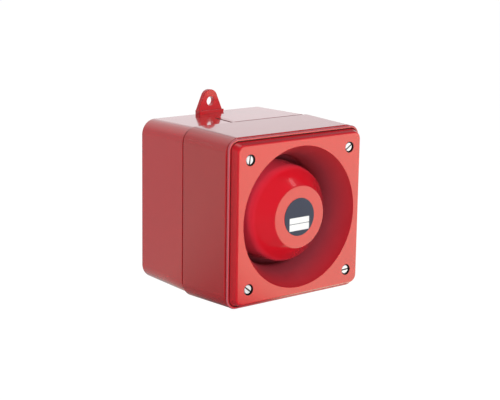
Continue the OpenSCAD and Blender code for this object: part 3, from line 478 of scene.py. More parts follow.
# painted shade: the flare is darker red deeper in the horn, with a pale painted reflection in its deep part
flarePaintedShade = plastic("flarePaintedShade", reds["flare"], **dullLook)
paintedShadingByDepth(flarePaintedShade, reds["flare"], fade["deepAt"], reds["mouth"], fade["mouthAt"])
# painted light: the cone is a lighter red than the cap and the skirt lighter still, with a pale painted
# reflection on the skirt
bellPaintedLight = plastic("bellPaintedLight", reds["bell"], **redLook)
paintedShadingByDepth(bellPaintedLight, reds["skirt"], fade["deepAt"], reds["bell"], fade["shoulderAt"])
aroundAxis, acrossAxis = (0, 0, math.pi / 2), (0, math.pi / 2, 0)
finishes = {
    "case_red": plastic("caseRed", reds["case"], **redLook),
    "horn_red": plastic("hornRed", reds["horn"], **redLook),
    "seal_rubber": plastic("sealRubber", (0.02, 0.02, 0.022), 0.65, grain=1800, bump=0.3, dust=0.15),
    "label_film": plastic(
        "labelFilm", (0.020, 0.028, 0.062), 0.38, grain=2400, spread=0.06, dust=0.04, bump=0.05,
    ),
    "bright_steel": metal("brightSteel", (0.72, 0.77, 0.95), (0.60, 0.63, 0.72), 0.3),
    "insert_brass": metal("insertBrass", (0.76, 0.56, 0.24), (0.42, 0.28, 0.1), 0.28),
    "dark_plastic": plastic("darkPlastic", (0.028, 0.028, 0.03), 0.5, grain=1300, bump=0.35, dust=0.08),
    "ferrite": plastic("ferrite", (0.05, 0.05, 0.055), 0.6, grain=2200, bump=0.4, dust=0.1),
    "cone_film": plastic("coneFilm", (0.50, 0.33, 0.12), 0.35, grain=1600, bump=0.2),
    "coil_copper": wound("coilCopper", (0.80, 0.36, 0.15), (0.35, 0.13, 0.05), 0.0003, aroundAxis, 1.0),
    "phenolic": plastic("phenolic", (0.17, 0.075, 0.03), 0.5, grain=900, bump=0.3),
    "wire_black": plastic("wireBlack", (0.015, 0.015, 0.016), 0.42, grain=1500, bump=0.15),
    "board_green": boardSkin("boardGreen"),
    "core_iron": wound("coreIron", (0.16, 0.16, 0.17), (0.05, 0.05, 0.055), 0.0005, acrossAxis, 0.8),
    "tape_yellow": wound("tapeYellow", (0.72, 0.50, 0.06), (0.60, 0.40, 0.04), 0.003, aroundAxis, 0.0),
    "can_blue": plastic("canBlue", (0.02, 0.03, 0.10), 0.32, grain=1200, bump=0.08),
    "terminal_green": plastic("terminalGreen", (0.03, 0.19, 0.08), 0.45, grain=1500, bump=0.2),
    "ivory_plastic": plastic("ivoryPlastic", (0.78, 0.74, 0.62), 0.4, grain=1500, bump=0.15),
    "fuse_glass": plastic("fuseGlass", (0.62, 0.68, 0.68), 0.08, grain=500, bump=0.02, coat=1.0),
    "switch_blue": plastic("switchBlue", (0.02, 0.06, 0.30), 0.4, grain=1500, bump=0.15),
}
for nodeName, node in nodes.items():
    node.data.materials.clear()
    node.data.materials.append(finishes[slotOf[nodeName]])
print("materials", len(finishes))


# Rear housing with its lugs; here and below, an Ease is the width and the steps of a rounded edge
rear = {
    "backWall": 4.0, "backEase": (1.3, 3), "seamEase": (0.4, 3), "grooveW": 2.2, "grooveD": 1.2,
    "cavityLean": 1.2, "backStep": 0.04, "level": 0.99, "steep": 0.9, "tilt": 0.3,
    "lugW": 12.5, "lugT": 4.5, "lugEase": (0.6, 3), "tipR": 7.5, "tipAt": 80.8, "tipSteps": 28,
    "holeR": 3.8, "holeAt": 78.4, "holeEase": (0.3, 2), "holeSteps": 40, "rimAngle": 1.2,
    "footW": 13.0, "footLean": 0.8, "footT": 6.5, "footRise": 3.3, "footSunk": 1.5, "footEase": (0.4, 3),
    "footAngle": 0.3,
    "panelStart": 8.5, "panelLeft": 18.5, "panelRise": 0.9, "panelEaves": 0.35, "panelRamp": 6.0,
    "panelRampEnd": 1.5, "panelFrom": 27.0, "panelFull": 31.0, "panelSunk": 0.1, "panelGap": 0.8,
    "panelEase": (0.5, 3),
    "root": 2.0, "bossR": 5.5, "bossHole": 2.85, "bossFloor": 40.0, "bossShy": 0.3, "bossSteps": 32,
    "postR": 3.5, "postHole": 1.5, "postFloor": 5.0, "postTop": 14.0, "postAt": (41.0, 37.0), "postSteps": 24,
    "padR": 16.0, "padHole": 10.1, "padEdge": 0.4, "padSteps": 64,
}
rear["padAt"], rear["padOut"], rear["padIn"] = (ringLow + ringHigh) / 2, -ringHigh.z, -nutLow.z


def lugSolid(sign):
    bm = bmesh.new()
    low = case["wallHalf"] - rear["footSunk"]
    high = case["wallHalf"] + rear["footRise"]
    shoulder = Vector((rear["lugW"], high - rear["tipAt"]))
    touch = math.atan2(shoulder.y, shoulder.x) + math.acos(rear["tipR"] / shoulder.length)
    tip = bm.verts.new((rear["tipR"], 0, 0))
    turnMesh(bm, -touch, "Y")
    bmesh.ops.spin(
        bm, geom=[tip], cent=(0, 0, 0), axis=(0, -1, 0), dvec=(0, 0, 0),
        angle=math.pi - 2 * touch, steps=rear["tipSteps"],
    )
    moveMesh(bm, (0, 0, rear["tipAt"]))
    arcEnds = sorted((v for v in bm.verts if len(v.link_edges) == 1), key=lambda v: v.co.x)
    spots = ((rear["lugW"], high), (rear["lugW"], low), (-rear["lugW"], low), (-rear["lugW"], high))
    chain = [arcEnds[1]] + [bm.verts.new((x, 0, z)) for x, z in spots] + [arcEnds[0]]
    for pair in zip(chain, chain[1:]):
        bm.edges.new(pair)
    addRing(bm, rear["holeR"], rear["holeSteps"], Matrix.Translation((0, 0, rear["holeAt"])) @ facing(0))
    fillFlat(bm, bm.edges[:], (0, -1, 0))
    extrude(bm, bm.faces[:], (0, -rear["lugT"], 0))
    faceOut(bm)
    bmesh.ops.dissolve_limit(bm, angle_limit=0.01, verts=bm.verts, edges=bm.edges)
    rims = [
        e for e in bm.edges
        if len(e.link_faces) == 2 and e.calc_face_angle() > rear["rimAngle"]
        and min(v.co.z for v in e.verts) > high - case["near"]
        and abs(e.verts[0].co.y - e.verts[1].co.y) < case["near"]
    ]
    reach = rear["holeR"] + case["near"]
    bored = [e for e in rims if math.hypot(e.verts[0].co.x, e.verts[0].co.z - rear["holeAt"]) < reach]
    softEdges(bm, [e for e in rims if e not in bored], *rear["lugEase"])
    softEdges(bm, [e for e in bored if e.is_valid], *rear["holeEase"])
    moveMesh(bm, (0, -rear["backStep"], 0))
    foot = bmesh.new()
    base = rear["footW"] - rear["footLean"]
    corners = ((-base, low), (base, low), (rear["footW"], high), (-rear["footW"], high))
    footFace = foot.faces.new([foot.verts.new((x, 0, z)) for x, z in corners])
    pushFace(foot, footFace, rear["footT"], keep=True)
    faceOut(foot)
    sharp = [e for e in foot.edges if e.calc_face_angle() > rear["footAngle"]]
    eased = softEdges(foot, sharp, *rear["footEase"])
    foot.normal_update()
    for face in eased:  # painted highlight: the ridge along the front is a paler pink red
        face.material_index = 2 * int(face.normal.y < -rear["tilt"] and face.normal.z > rear["tilt"])
    moveMesh(foot, (0, -2 * rear["backStep"], 0))
    joinInto(bm, foot)
    for face in bm.faces:
        face.material_index = face.material_index or 3
    if sign < 0:
        turnMesh(bm, math.pi, "Y")
    return bm


def panelSolid():  # raised panel from the upper lug to the right corner, almost level with the front housing
    bm = bmesh.new()
    right = case["wallHalf"] - case["cornerR"]
    low = case["wallHalf"] - rear["footSunk"]
    end = case["seamDepth"] - rear["panelGap"]
    slope = math.tan(case["rearDraft"])
    rows = []
    for depth in (0, rear["panelFrom"], rear["panelFull"], end):
        left = -rear["panelStart"] - (rear["panelLeft"] - rear["panelStart"]) * depth / end
        level = case["wallHalf"] + depth * slope
        eaves = level + (rear["panelEaves"] if depth > rear["panelFrom"] else -rear["panelSunk"])
        high = level + rear["panelRise"]
        share = max(depth - rear["panelFrom"], 0) / (end - rear["panelFrom"])
        ramp = rear["panelRamp"] + (rear["panelRampEnd"] - rear["panelRamp"]) * share
        spots = ((left, low), (right, low), (right, high), (left + ramp, high), (left, eaves))
        rows.append([bm.verts.new((x, -depth, z)) for x, z in spots])
    bm.faces.new(rows[0])
    bm.faces.new(rows[-1])
    for row, following in zip(rows, rows[1:]):
        for corners in zip(row, row[1:] + row[:1], following[1:] + following[:1], following):
            bm.faces.new(corners)
    faceOut(bm)
    ahead = [e for e in bm.edges if liesAt(e, end) and all(v.co.z > case["wallHalf"] for v in e.verts)]
    softEdges(bm, ahead, *rear["panelEase"])
    bm.normal_update()
    for face in bm.faces:  # painted shade: the narrow side and the end at the seam are dark
        face.material_index = int(face.normal.x < -rear["steep"] or face.normal.y < -rear["tilt"])
    return bm


def cutRound(bm, face, spot, radius):  # round hole through one flat face, square to it
    normal, corner = face.normal.copy(), face.verts[0].co.copy()
    spot = Vector((spot.x, spot.y, corner.z))
    spot.z -= (spot - corner).dot(normal) / normal.z
    place = Matrix.Translation(spot) @ normal.to_track_quat("Z", "Y").to_matrix().to_4x4()
    edges = list(face.edges) + addRing(bm, radius, rear["padSteps"], place)
    dropFaces(bm, [face])
    fillFlat(bm, edges, normal)


def padSolid():  # ring that the gland clamps, level although the wall leans
    out, inside, edge = rear["padOut"], rear["padIn"], rear["padEdge"]
    bm = spinProfile([
        (rear["padHole"], inside), (rear["padR"], inside), (rear["padR"], out - edge),
        (rear["padR"] - edge, out), (rear["padHole"], out),
    ], rear["padSteps"], closed=True)
    turnMesh(bm, math.pi / 2, "X")
    moveMesh(bm, (rear["padAt"].x, rear["padAt"].y, 0))
    return bm


def buildRear():
    bm = bmesh.new()
    back = addSquare(bm, case["wallHalf"], case["cornerR"], 0)
    skinEnd = case["seamDepth"] - rear["grooveW"]
    skinHalf = case["wallHalf"] + skinEnd * math.tan(case["rearDraft"])
    rim = pushFace(bm, back, skinEnd, skinHalf / case["wallHalf"], keep=True)
    inset(bm, [rim], rear["grooveD"])
    rim = pushFace(bm, rim, rear["grooveW"])
    # painted shade: the groove at the seam is dark
    for face in bm.faces:
        face.material_index = int(skinEnd < -face.calc_center_median().y < case["seamDepth"] - case["near"])
    inset(bm, [rim], case["wall"] - rear["grooveD"])
    pushFace(bm, rim, rear["backWall"] - case["seamDepth"], 1 - rear["cavityLean"] / case["wallHalf"])
    faceOut(bm)
    softEdges(bm, edgesAt(bm, 0, case["wallHalf"], case["cornerR"]), *rear["backEase"])
    skinR = case["cornerR"] * skinHalf / case["wallHalf"]
    softEdges(bm, edgesAt(bm, skinEnd, skinHalf, skinR), *rear["seamEase"])
    bm.normal_update()
    padMiddle = (rear["padHole"] + rear["padR"]) / 2
    for side in (-1, 1):  # outer skin, then the cavity's floor
        under = [f for f in bm.faces if f.calc_center_median().z < -case["cornerR"]]
        level = [f for f in under if f.normal.z * side > rear["level"]]
        cutRound(bm, max(level, key=lambda f: f.calc_area()), rear["padAt"], padMiddle)
    joinInto(bm, padSolid())
    joinInto(bm, panelSolid())
    for sign in (1, -1):
        joinInto(bm, lugSolid(sign))
    bossTop = case["seamDepth"] - rear["bossShy"]
    for x, z in screwSites:
        boss = spinProfile([
            (rear["bossHole"], rear["bossFloor"]), (rear["bossR"], rear["root"]),
            (rear["bossR"], bossTop), (rear["bossHole"], bossTop),
        ], rear["bossSteps"], closed=True)
        joinAt(bm, boss, x, z)
    for sx, sz in cornerSigns:
        post = spinProfile([
            (rear["postHole"], rear["postFloor"]), (rear["postR"], rear["root"]),
            (rear["postR"], rear["postTop"]), (rear["postHole"], rear["postTop"]),
        ], rear["postSteps"], closed=True)
        joinAt(bm, post, sx * rear["postAt"][0], sz * rear["postAt"][1])
    skins = (finishes["case_red"], seamShade, edgePaintedHighlight, lugRed)
    return addPiece("rearHousing", bm, "case_red", ["rear_housing"], materials=skins)


buildRear()


# Front housing
front = {
    "seamEase": (0.5, 2), "flangeEase": (0.7, 3),
    "sleeveR": 5.5, "sleeveHole": 2.6, "sleeveShy": 0.1, "sleeveSteps": 32,
    "collarIn": 1.2, "collarWall": 1.0, "collarSunk": 2.0, "collarOut": 0.6,
}


def squareTube(half, radius, start, end, grow, wall):
    bm = bmesh.new()
    back = addSquare(bm, half, radius, start)
    ahead = pushFace(bm, back, end - start, grow, keep=True)
    inset(bm, [back, ahead], wall)
    loops = [edge for face in (back, ahead) for edge in face.edges]
    dropFaces(bm, [back, ahead])
    bmesh.ops.bridge_loops(bm, edges=loops)
    faceOut(bm)
    return bm


def buildFront():
    half, nearHalf = case["frontSeamHalf"], case["frontHalf"]
    start, end, radius = case["seamDepth"], case["flangeBack"], case["cornerR"]
    bm = squareTube(half, radius, start, end, nearHalf / half, case["wall"])
    softEdges(bm, edgesAt(bm, start, half, radius), *front["seamEase"])
    softEdges(bm, edgesAt(bm, end, nearHalf, radius * nearHalf / half), *front["flangeEase"])
    collar = squareTube(  # closes the gap behind the plate, painted dark as shade
        nearHalf - front["collarIn"], radius - front["collarIn"],
        end - front["collarSunk"], end + front["collarOut"], 1, front["collarWall"],
    )
    paint(collar.faces, 1)
    joinInto(bm, collar)
    sleeveEnd = end - front["sleeveShy"]
    for x, z in screwSites:
        sleeve = spinProfile([
            (front["sleeveHole"], start), (front["sleeveR"], start),
            (front["sleeveR"], sleeveEnd), (front["sleeveHole"], sleeveEnd),
        ], front["sleeveSteps"], closed=True)
        joinAt(bm, sleeve, x, z)
    return addPiece("frontHousing", bm, "case_red", ["front_housing"], materials=(frontPaintedShade, seamShade))


buildFront()


# Front plate with the flare
plate = {
    "flangeHalf": 67.5, "flangeR": 9.0, "flangeT": 2.5, "flangeEase": (1.0, 4), "backEase": (0.5, 3),
    "shadowGap": 0.5, "lip": 2.5, "lean": 1.8, "grooveW": 0.8, "grooveD": 0.6, "topEase": (1.2, 5),
    "mouthR": 57.6, "lipR": 0.5, "lipEnd": 165, "lipSteps": 6, "dishR": 46.0, "fillet": 8.0, "filletSteps": 8,
    "floor": 81.0, "power": 2.0, "flareSteps": 16, "skin": 2.5, "skinShy": 0.5, "skinPlay": 0.15,
    "throat": 10.05, "seatR": 38.0, "seatDepth": 76.0,
    "boreR": 4.25, "boreEdge": 0.3, "boreFloor": 119.6, "screwHole": 2.25, "screwShy": 0.2,
    "aroundSteps": 160, "boreSteps": 48,
}


def flareSide(skin, top):  # radius and depth, from the mouth down to the dish floor
    points = []
    low = plate["floor"] + plate["fillet"]
    high = case["faceDepth"] - plate["lipR"]
    opening = plate["mouthR"] - plate["lipR"] - plate["dishR"]
    for step in range(plate["flareSteps"], 0, -1):
        share = step / plate["flareSteps"]
        depth = low + (high - low) * share
        if depth < top:
            points.append((plate["dishR"] + skin + opening * share ** plate["power"], depth))
    centre = (plate["dishR"] - plate["fillet"], low)
    return points + arcPoints(centre, plate["fillet"] + skin, 0, -90, plate["filletSteps"])


def plateSolid(flangeBack):  # flange, groove and raised plate, still without its openings
    bm = bmesh.new()
    half, radius, faceDepth = plate["flangeHalf"], plate["flangeR"], case["faceDepth"]
    back = addSquare(bm, half, radius, flangeBack)
    rim = pushFace(bm, back, plate["flangeT"] - plate["shadowGap"], keep=True)
    groove = plate["grooveW"] / 2
    # painted shade: the two walls of the groove round the plate are dark
    for thickness, sink in ((plate["lip"] - plate["grooveW"], 0), (groove, -1), (groove, 1)):
        paint(inset(bm, [rim], thickness, sink * plate["grooveD"]), 2 * abs(sink))
    foot = half - plate["lip"]
    flangeFace = case["flangeBack"] + plate["flangeT"]
    shrink = (foot - plate["lean"]) / foot
    pushFace(bm, rim, faceDepth - case["flangeBack"] - plate["flangeT"], shrink)
    faceOut(bm)
    # painted highlight: the flange's rounded front edge is a paler pink red
    paint(softEdges(bm, edgesAt(bm, flangeFace, half, radius), *plate["flangeEase"]), 4)
    softEdges(bm, edgesAt(bm, flangeBack, half, radius), *plate["backEase"])
    topR = (radius - plate["lip"]) * shrink
    softEdges(bm, edgesAt(bm, faceDepth, foot - plate["lean"], topR), *plate["topEase"])
    return bm


def buildPlate():
    faceDepth, flangeBack = case["faceDepth"], case["flangeBack"] + plate["shadowGap"]
    rimR = plate["boreR"] + plate["boreEdge"]
    bm = plateSolid(flangeBack)
    edges = openFlat(bm, faceDepth)
    edges += addRing(bm, plate["mouthR"], plate["aroundSteps"], facing(faceDepth))
    for x, z in screwSites:
        edges += addRing(bm, rimR, plate["boreSteps"], Matrix.Translation((x, 0, z)) @ facing(faceDepth))
    fillFlat(bm, edges, (0, -1, 0))
    outside = flareSide(plate["skin"], case["flangeBack"] - plate["skinShy"])
    backR = outside[0][0] + plate["skinPlay"]
    edges = openFlat(bm, flangeBack)
    edges += addRing(bm, backR, plate["aroundSteps"], facing(flangeBack))
    fillFlat(bm, edges, (0, 1, 0))
    lipAt = (plate["mouthR"], faceDepth - plate["lipR"])
    profile = arcPoints(lipAt, plate["lipR"], 90, plate["lipEnd"], plate["lipSteps"])
    profile += flareSide(0, faceDepth) + [
        (plate["throat"], plate["floor"]), (plate["throat"], plate["seatDepth"]),
        (plate["seatR"], plate["seatDepth"]), (plate["seatR"], plate["floor"] - plate["skin"]),
    ]
    flare = spinProfile(profile + outside[::-1] + [(backR, flangeBack)], plate["aroundSteps"])
    # painted shade: the flare takes the darker red that deepens towards the dish
    paint(flare.faces, 1)
    joinInto(bm, flare)
    for x, z in screwSites:
        bore = spinProfile([
            (rimR, faceDepth), (plate["boreR"], faceDepth - plate["boreEdge"]),
            (plate["boreR"], plate["boreFloor"]), (plate["screwHole"], plate["boreFloor"]),
            (plate["screwHole"], case["flangeBack"] + plate["screwShy"]),
        ], plate["boreSteps"])
        paint(bore.faces, 3)
        joinAt(bm, bore, x, z)
    skins = (finishes["horn_red"], flarePaintedShade, seamShade, boreShade, edgePaintedHighlight)
    return addPiece("hornFront", bm, "horn_red", ["horn_front"], materials=skins)


buildPlate()


# Bell: cap, cone, shoulder and skirt in one shell, with a hub and ribs inside
bell = {
    "capR": 25.2, "edgeR": 1.5, "edgeMin": 0.3, "edgeSteps": 6, "cone": 14.7,
    "shoulderR": 10.0, "shoulderMin": 0.4, "shoulderSteps": 12,
    "wall": 2.0, "rimEdge": 0.5, "rimSteps": 4, "skirtFlare": 1.9,
    "hubR": 12.05, "hubBore": 10.05, "hubBack": 102.0, "hubFront": 112.0, "hubEdge": 0.3, "hubSteps": 64,
    "ribT": 2.0, "ribBack": 104.0, "ribTurns": (90, 210, 330), "aroundSteps": 160,
}
bell["capDepth"], bell["rimDepth"], bell["skirtR"] = -bellLow.y, -bellHigh.y, bellHigh.x
bell["lean"] = math.atan2(bell["skirtR"] - bell["capR"], bell["cone"])
bell["draft"] = math.atan2(bell["skirtFlare"], bell["capDepth"] - bell["cone"] - bell["rimDepth"])


def bellSide(skin):  # from the cap's rounded edge over the shoulder; skin moves the line inwards
    lean = math.degrees(bell["lean"])
    slope = math.tan(bell["lean"])
    capDepth = bell["capDepth"] - skin
    capR = bell["capR"] - skin / math.cos(bell["lean"]) + skin * slope
    edgeR = max(bell["edgeR"] - skin, bell["edgeMin"])
    edgeAt = (capR - edgeR * math.tan(math.radians(45 - lean / 2)), capDepth - edgeR)
    skirtR = bell["skirtR"] - skin
    cornerDepth = capDepth - (skirtR - capR) / slope
    shoulderR = max(bell["shoulderR"] - skin, bell["shoulderMin"])
    reach = shoulderR / math.cos((bell["lean"] - bell["draft"]) / 2)
    turn = (bell["lean"] + bell["draft"]) / 2
    shoulderAt = (skirtR - reach * math.cos(turn), cornerDepth - reach * math.sin(turn))
    points = arcPoints(edgeAt, edgeR, 90, lean, bell["edgeSteps"])
    return points + arcPoints(shoulderAt, shoulderR, lean, math.degrees(bell["draft"]), bell["shoulderSteps"])


def buildBell():
    inside = bellSide(bell["wall"])
    skirtR, rim, ease = bell["skirtR"] + bell["skirtFlare"], bell["rimDepth"], bell["rimEdge"]
    profile = [(0, bell["capDepth"])] + bellSide(0)
    profile += arcPoints((skirtR - ease, rim + ease), ease, 0, -90, bell["rimSteps"])
    profile += arcPoints((skirtR - bell["wall"] + ease, rim + ease), ease, -90, -180, bell["rimSteps"])
    profile += inside[::-1] + [(0, bell["capDepth"] - bell["wall"])]
    bm = spinProfile(profile, bell["aroundSteps"])
    capEdge = bell["capDepth"] - bell["edgeR"]
    # painted light: behind the cap's rounded edge the bell takes the lighter red that brightens towards the
    # shaded skirt
    for face in bm.faces:
        face.material_index = int(-face.calc_center_median().y < capEdge)
    hubR, hubBore, hubBack = bell["hubR"], bell["hubBore"], bell["hubBack"]
    spinProfile([
        (hubBore, hubBack), (hubR - bell["hubEdge"], hubBack), (hubR, hubBack + bell["hubEdge"]),
        (hubR, bell["hubFront"]), (hubBore, bell["hubFront"]),
    ], bell["hubSteps"], closed=True, bm=bm)
    overlap = bell["wall"] / 2
    shoulder = inside[-1]
    ribLine = [
        (hubR - overlap, bell["ribBack"]), (shoulder[0] + overlap, bell["ribBack"]),
        (shoulder[0] + overlap, shoulder[1]), (inside[0][0] + overlap, bell["capDepth"] - overlap),
        (hubR - overlap, bell["capDepth"] - overlap),
    ]
    for turn in bell["ribTurns"]:
        rib = bmesh.new()
        ribFace = rib.faces.new([rib.verts.new((r, -d, -bell["ribT"] / 2)) for r, d in ribLine])
        extrude(rib, [ribFace], (0, 0, bell["ribT"]))
        turnMesh(rib, math.radians(-turn), "Y")
        joinInto(bm, rib)
    return addPiece("hornBell", bm, "horn_red", ["horn_bell"], materials=(finishes["horn_red"], bellPaintedLight))


buildBell()


# Throat tube
tube = {"bore": 7.0, "boreEnd": 8.5, "flangeT": 2.0, "play": 0.05, "edge": 0.4, "boreEdge": 0.3, "steps": 72}


def buildTube():
    back, ahead = -tubeHigh.y, -tubeLow.y
    outer, seat = bell["hubBore"] - tube["play"], back + tube["flangeT"]
    bm = spinProfile([
        (tube["bore"], back), (tubeHigh.x, back), (tubeHigh.x, seat), (outer, seat),
        (outer, ahead - tube["edge"]), (outer - tube["edge"], ahead),
        (tube["boreEnd"] + tube["boreEdge"], ahead), (tube["boreEnd"], ahead - tube["boreEdge"]),
    ], tube["steps"], closed=True)
    return addPiece("throatTube", bm, "horn_red", ["throat_tube"])


buildTube()


# Label with its empty field
label = {
    "edge": 0.12, "fieldHalf": 10.2, "fieldTop": -0.3, "fieldLow": -10.9, "split": -5.3, "line": 0.45,
    "fieldR": 0.4, "fieldSteps": 4, "rise": 0.012, "sunk": 0.02, "steps": 96,
}
labelField = plastic("labelField", (0.86, 0.86, 0.85), 0.4, grain=2600, spread=0.03, dust=0.03, bump=0.04)


def buildLabel():
    back, ahead, radius = -labelHigh.y, -labelLow.y, labelHigh.x
    edge, half, gap = label["edge"], label["fieldHalf"], label["line"] / 2
    bm = spinProfile([
        (0, back), (radius, back), (radius, ahead - edge), (radius - edge, ahead), (0, ahead),
    ], label["steps"])
    for low, high in ((label["split"] + gap, label["fieldTop"]), (label["fieldLow"], label["split"] - gap)):
        row = bmesh.new()
        spots = ((-half, low), (half, low), (half, high), (-half, high))
        field = addRounded(row, spots, ahead - label["sunk"], label["fieldR"], label["fieldSteps"])
        pushFace(row, field, label["sunk"] + label["rise"], keep=True)
        paint(row.faces, 1)
        joinInto(bm, row)
    skins = (finishes["label_film"], labelField)
    return addPiece("labelDisc", bm, "label_film", ["label_disc"], materials=skins)


buildLabel()


# Cover screws
screw = {
    "headR": 3.5, "headH": 2.6, "slotW": 1.1, "slotD": 1.2, "headEase": (0.5, 4), "shankR": 2.0,
    "tip": 0.5, "neckEdge": 0.15, "sunk": 0.05, "steps": 56,
    "slots": ((-1, 1, 84), (1, 1, 32), (-1, -1, -38), (1, -1, 4)),
}
slotShade = metal("slotShade", (0.10, 0.10, 0.11), (0.05, 0.05, 0.05), 0.5)
headSteel = metal("headSteel", (0.86, 0.87, 0.95), (0.78, 0.79, 0.86), 0.3, metallic=0.5)


def cheekSolid(side, flat, top):  # one half of the head, beside the slot
    bm = bmesh.new()
    wallAt = side * screw["slotW"] / 2

    def onWall(item):
        return all(abs(v.co.z - wallAt) < case["slack"] for v in item.verts)

    place = facing(flat - screw["sunk"])
    bmesh.ops.create_circle(bm, cap_ends=True, radius=screw["headR"], segments=screw["steps"], matrix=place)
    bmesh.ops.bisect_plane(
        bm, geom=bm.verts[:] + bm.edges[:] + bm.faces[:], plane_co=(0, 0, wallAt), plane_no=(0, 0, side),
        clear_inner=True,
    )
    bm.faces.ensure_lookup_table()
    pushFace(bm, bm.faces[0], screw["slotD"] + screw["sunk"], keep=True)
    faceOut(bm)
    outer = [e for e in bm.edges if liesAt(e, top) and not onWall(e)]
    softEdges(bm, outer, *screw["headEase"])
    for face in bm.faces:
        face.material_index = int(onWall(face))
    return bm


def buildScrews():
    bm = bmesh.new()
    top, end = -screwLow.y, -screwHigh.y
    flat, neck = top - screw["slotD"], top - screw["headH"]
    headR, shankR, tip, ease = screw["headR"], screw["shankR"], screw["tip"], screw["neckEdge"]
    for sx, sz, angle in screw["slots"]:
        one = spinProfile([
            (0, end), (shankR - tip, end), (shankR, end + tip), (shankR, neck), (headR - ease, neck),
            (headR, neck + ease), (headR, flat), (0, flat),
        ], screw["steps"])
        for face in one.faces:
            face.material_index = int(liesAt(face, flat))
        for side in (1, -1):
            joinInto(one, cheekSolid(side, flat, top))
        turnMesh(one, math.radians(-angle), "Y")
        joinAt(bm, one, sx * case["screwAt"], sz * case["screwAt"])
    return addPiece("coverScrews", bm, "bright_steel", ["cover_screws"], materials=(headSteel, slotShade))


buildScrews()


# Gland: copies of the CAD pieces with their sharp edges eased
gland = {
    "edges": {"gland_body": 0.5, "gland_cap": 0.6, "gland_locknut": 0.4},
    "flatAngle": math.radians(1), "sharpAngle": math.radians(50), "steps": 3,
}


def buildGland():
    for nodeName, width in gland["edges"].items():
        bm = bmesh.new()
        bm.from_mesh(nodes[nodeName].data)
        bmesh.ops.scale(bm, verts=bm.verts, vec=(1 / mm, 1 / mm, 1 / mm))
        bmesh.ops.remove_doubles(bm, verts=bm.verts, dist=case["weld"])
        bmesh.ops.dissolve_limit(bm, angle_limit=gland["flatAngle"], verts=bm.verts, edges=bm.edges)
        faceOut(bm)
        folds = [e for e in bm.edges if len(e.link_faces) == 2]
        softEdges(bm, [e for e in folds if e.calc_face_angle() > gland["sharpAngle"]], width, gland["steps"])
        words = nodeName.split("_")
        addPiece(words[0] + words[1].capitalize(), bm, slotOf[nodeName], [nodeName])


buildGland()


# Stage: a white floor that keeps the shadow, a white surround, and a room that is dark on the camera's side
stage = {
    "floorSize": 8.0, "floorGap": 0.0003, "albedo": 0.82, "cameraShare": 0.88, "cameraWhite": 1.13,
    "worldLight": 0.16, "riseLow": 0.02, "riseHigh": 0.14, "bandLow": 0.3, "bandHigh": 0.55,
    "middle": (0.0, -0.06, 0.0),
}
# What gloss sees round about, by compass: degrees from the right-hand side, anticlockwise from above
roomTones = (
    (-180, (0.16, 0.16, 0.16)), (-147, (0.09, 0.09, 0.1)), (-100, (0.12, 0.12, 0.12)),
    (-72, (1.3, 1.25, 0.94)), (-30, (1.5, 1.45, 1.17)), (0, (1.15, 1.12, 1.0)),
    (51, (0.98, 0.93, 0.95)), (90, (0.75, 0.72, 0.72)), (122, (0.45, 0.42, 0.42)),
    (138, (0.52, 0.5, 0.46)), (159, (0.28, 0.27, 0.26)), (180, (0.16, 0.16, 0.16)),
)
upperTones = roomTones[:3] + (
    (-72, (0.5, 0.48, 0.47)), (-30, (0.6, 0.57, 0.56)), (0, (0.75, 0.72, 0.71)),
) + roomTones[6:]
ceilingTones = (
    (-180, (0.09, 0.09, 0.1)), (48, (0.09, 0.09, 0.1)), (66, (0.85, 0.82, 0.82)),
    (105, (0.75, 0.72, 0.71)), (125, (0.55, 0.53, 0.52)), (160, (0.09, 0.09, 0.1)),
)


def makeRoomGroup(name, tones):
    tree, given, result = newGroup(name, {"Direction": (0, 0, 0)}, {"Glow": "Color"})
    around = addNode(tree, "ShaderNodeTexGradient", gradient_type="RADIAL")
    link(given.outputs["Direction"], around.inputs["Vector"])
    ramp = addNode(tree, "ShaderNodeValToRGB")
    marks = ramp.color_ramp.elements
    while len(marks) > 1:
        marks.remove(marks[-1])
    for turn, colour in tones:
        marks.new(turn / 360 + 0.5).color = (*colour, 1)
    marks.remove(marks[0])
    link(around.outputs["Fac"], ramp.inputs["Fac"])
    link(ramp.outputs["Color"], result.inputs["Glow"])
    return tree


roomGroup = makeRoomGroup("roomGlow", roomTones)
upperGroup = makeRoomGroup("upperGlow", upperTones)
ceilingGroup = makeRoomGroup("ceilingGlow", ceilingTones)


def glowFrom(group, direction):
    node = addNode(direction.id_data, "ShaderNodeGroup", node_tree=group)
    link(direction, node.inputs["Direction"])
    return node.outputs["Glow"]


def mixShaders(share, first, second, output):
    mixed = addNode(output.id_data, "ShaderNodeMixShader")
    for index, source in enumerate((share, first.outputs[0], second.outputs[0])):
        link(source, mixed.inputs[index])
    link(mixed.outputs[0], output.inputs["Surface"])


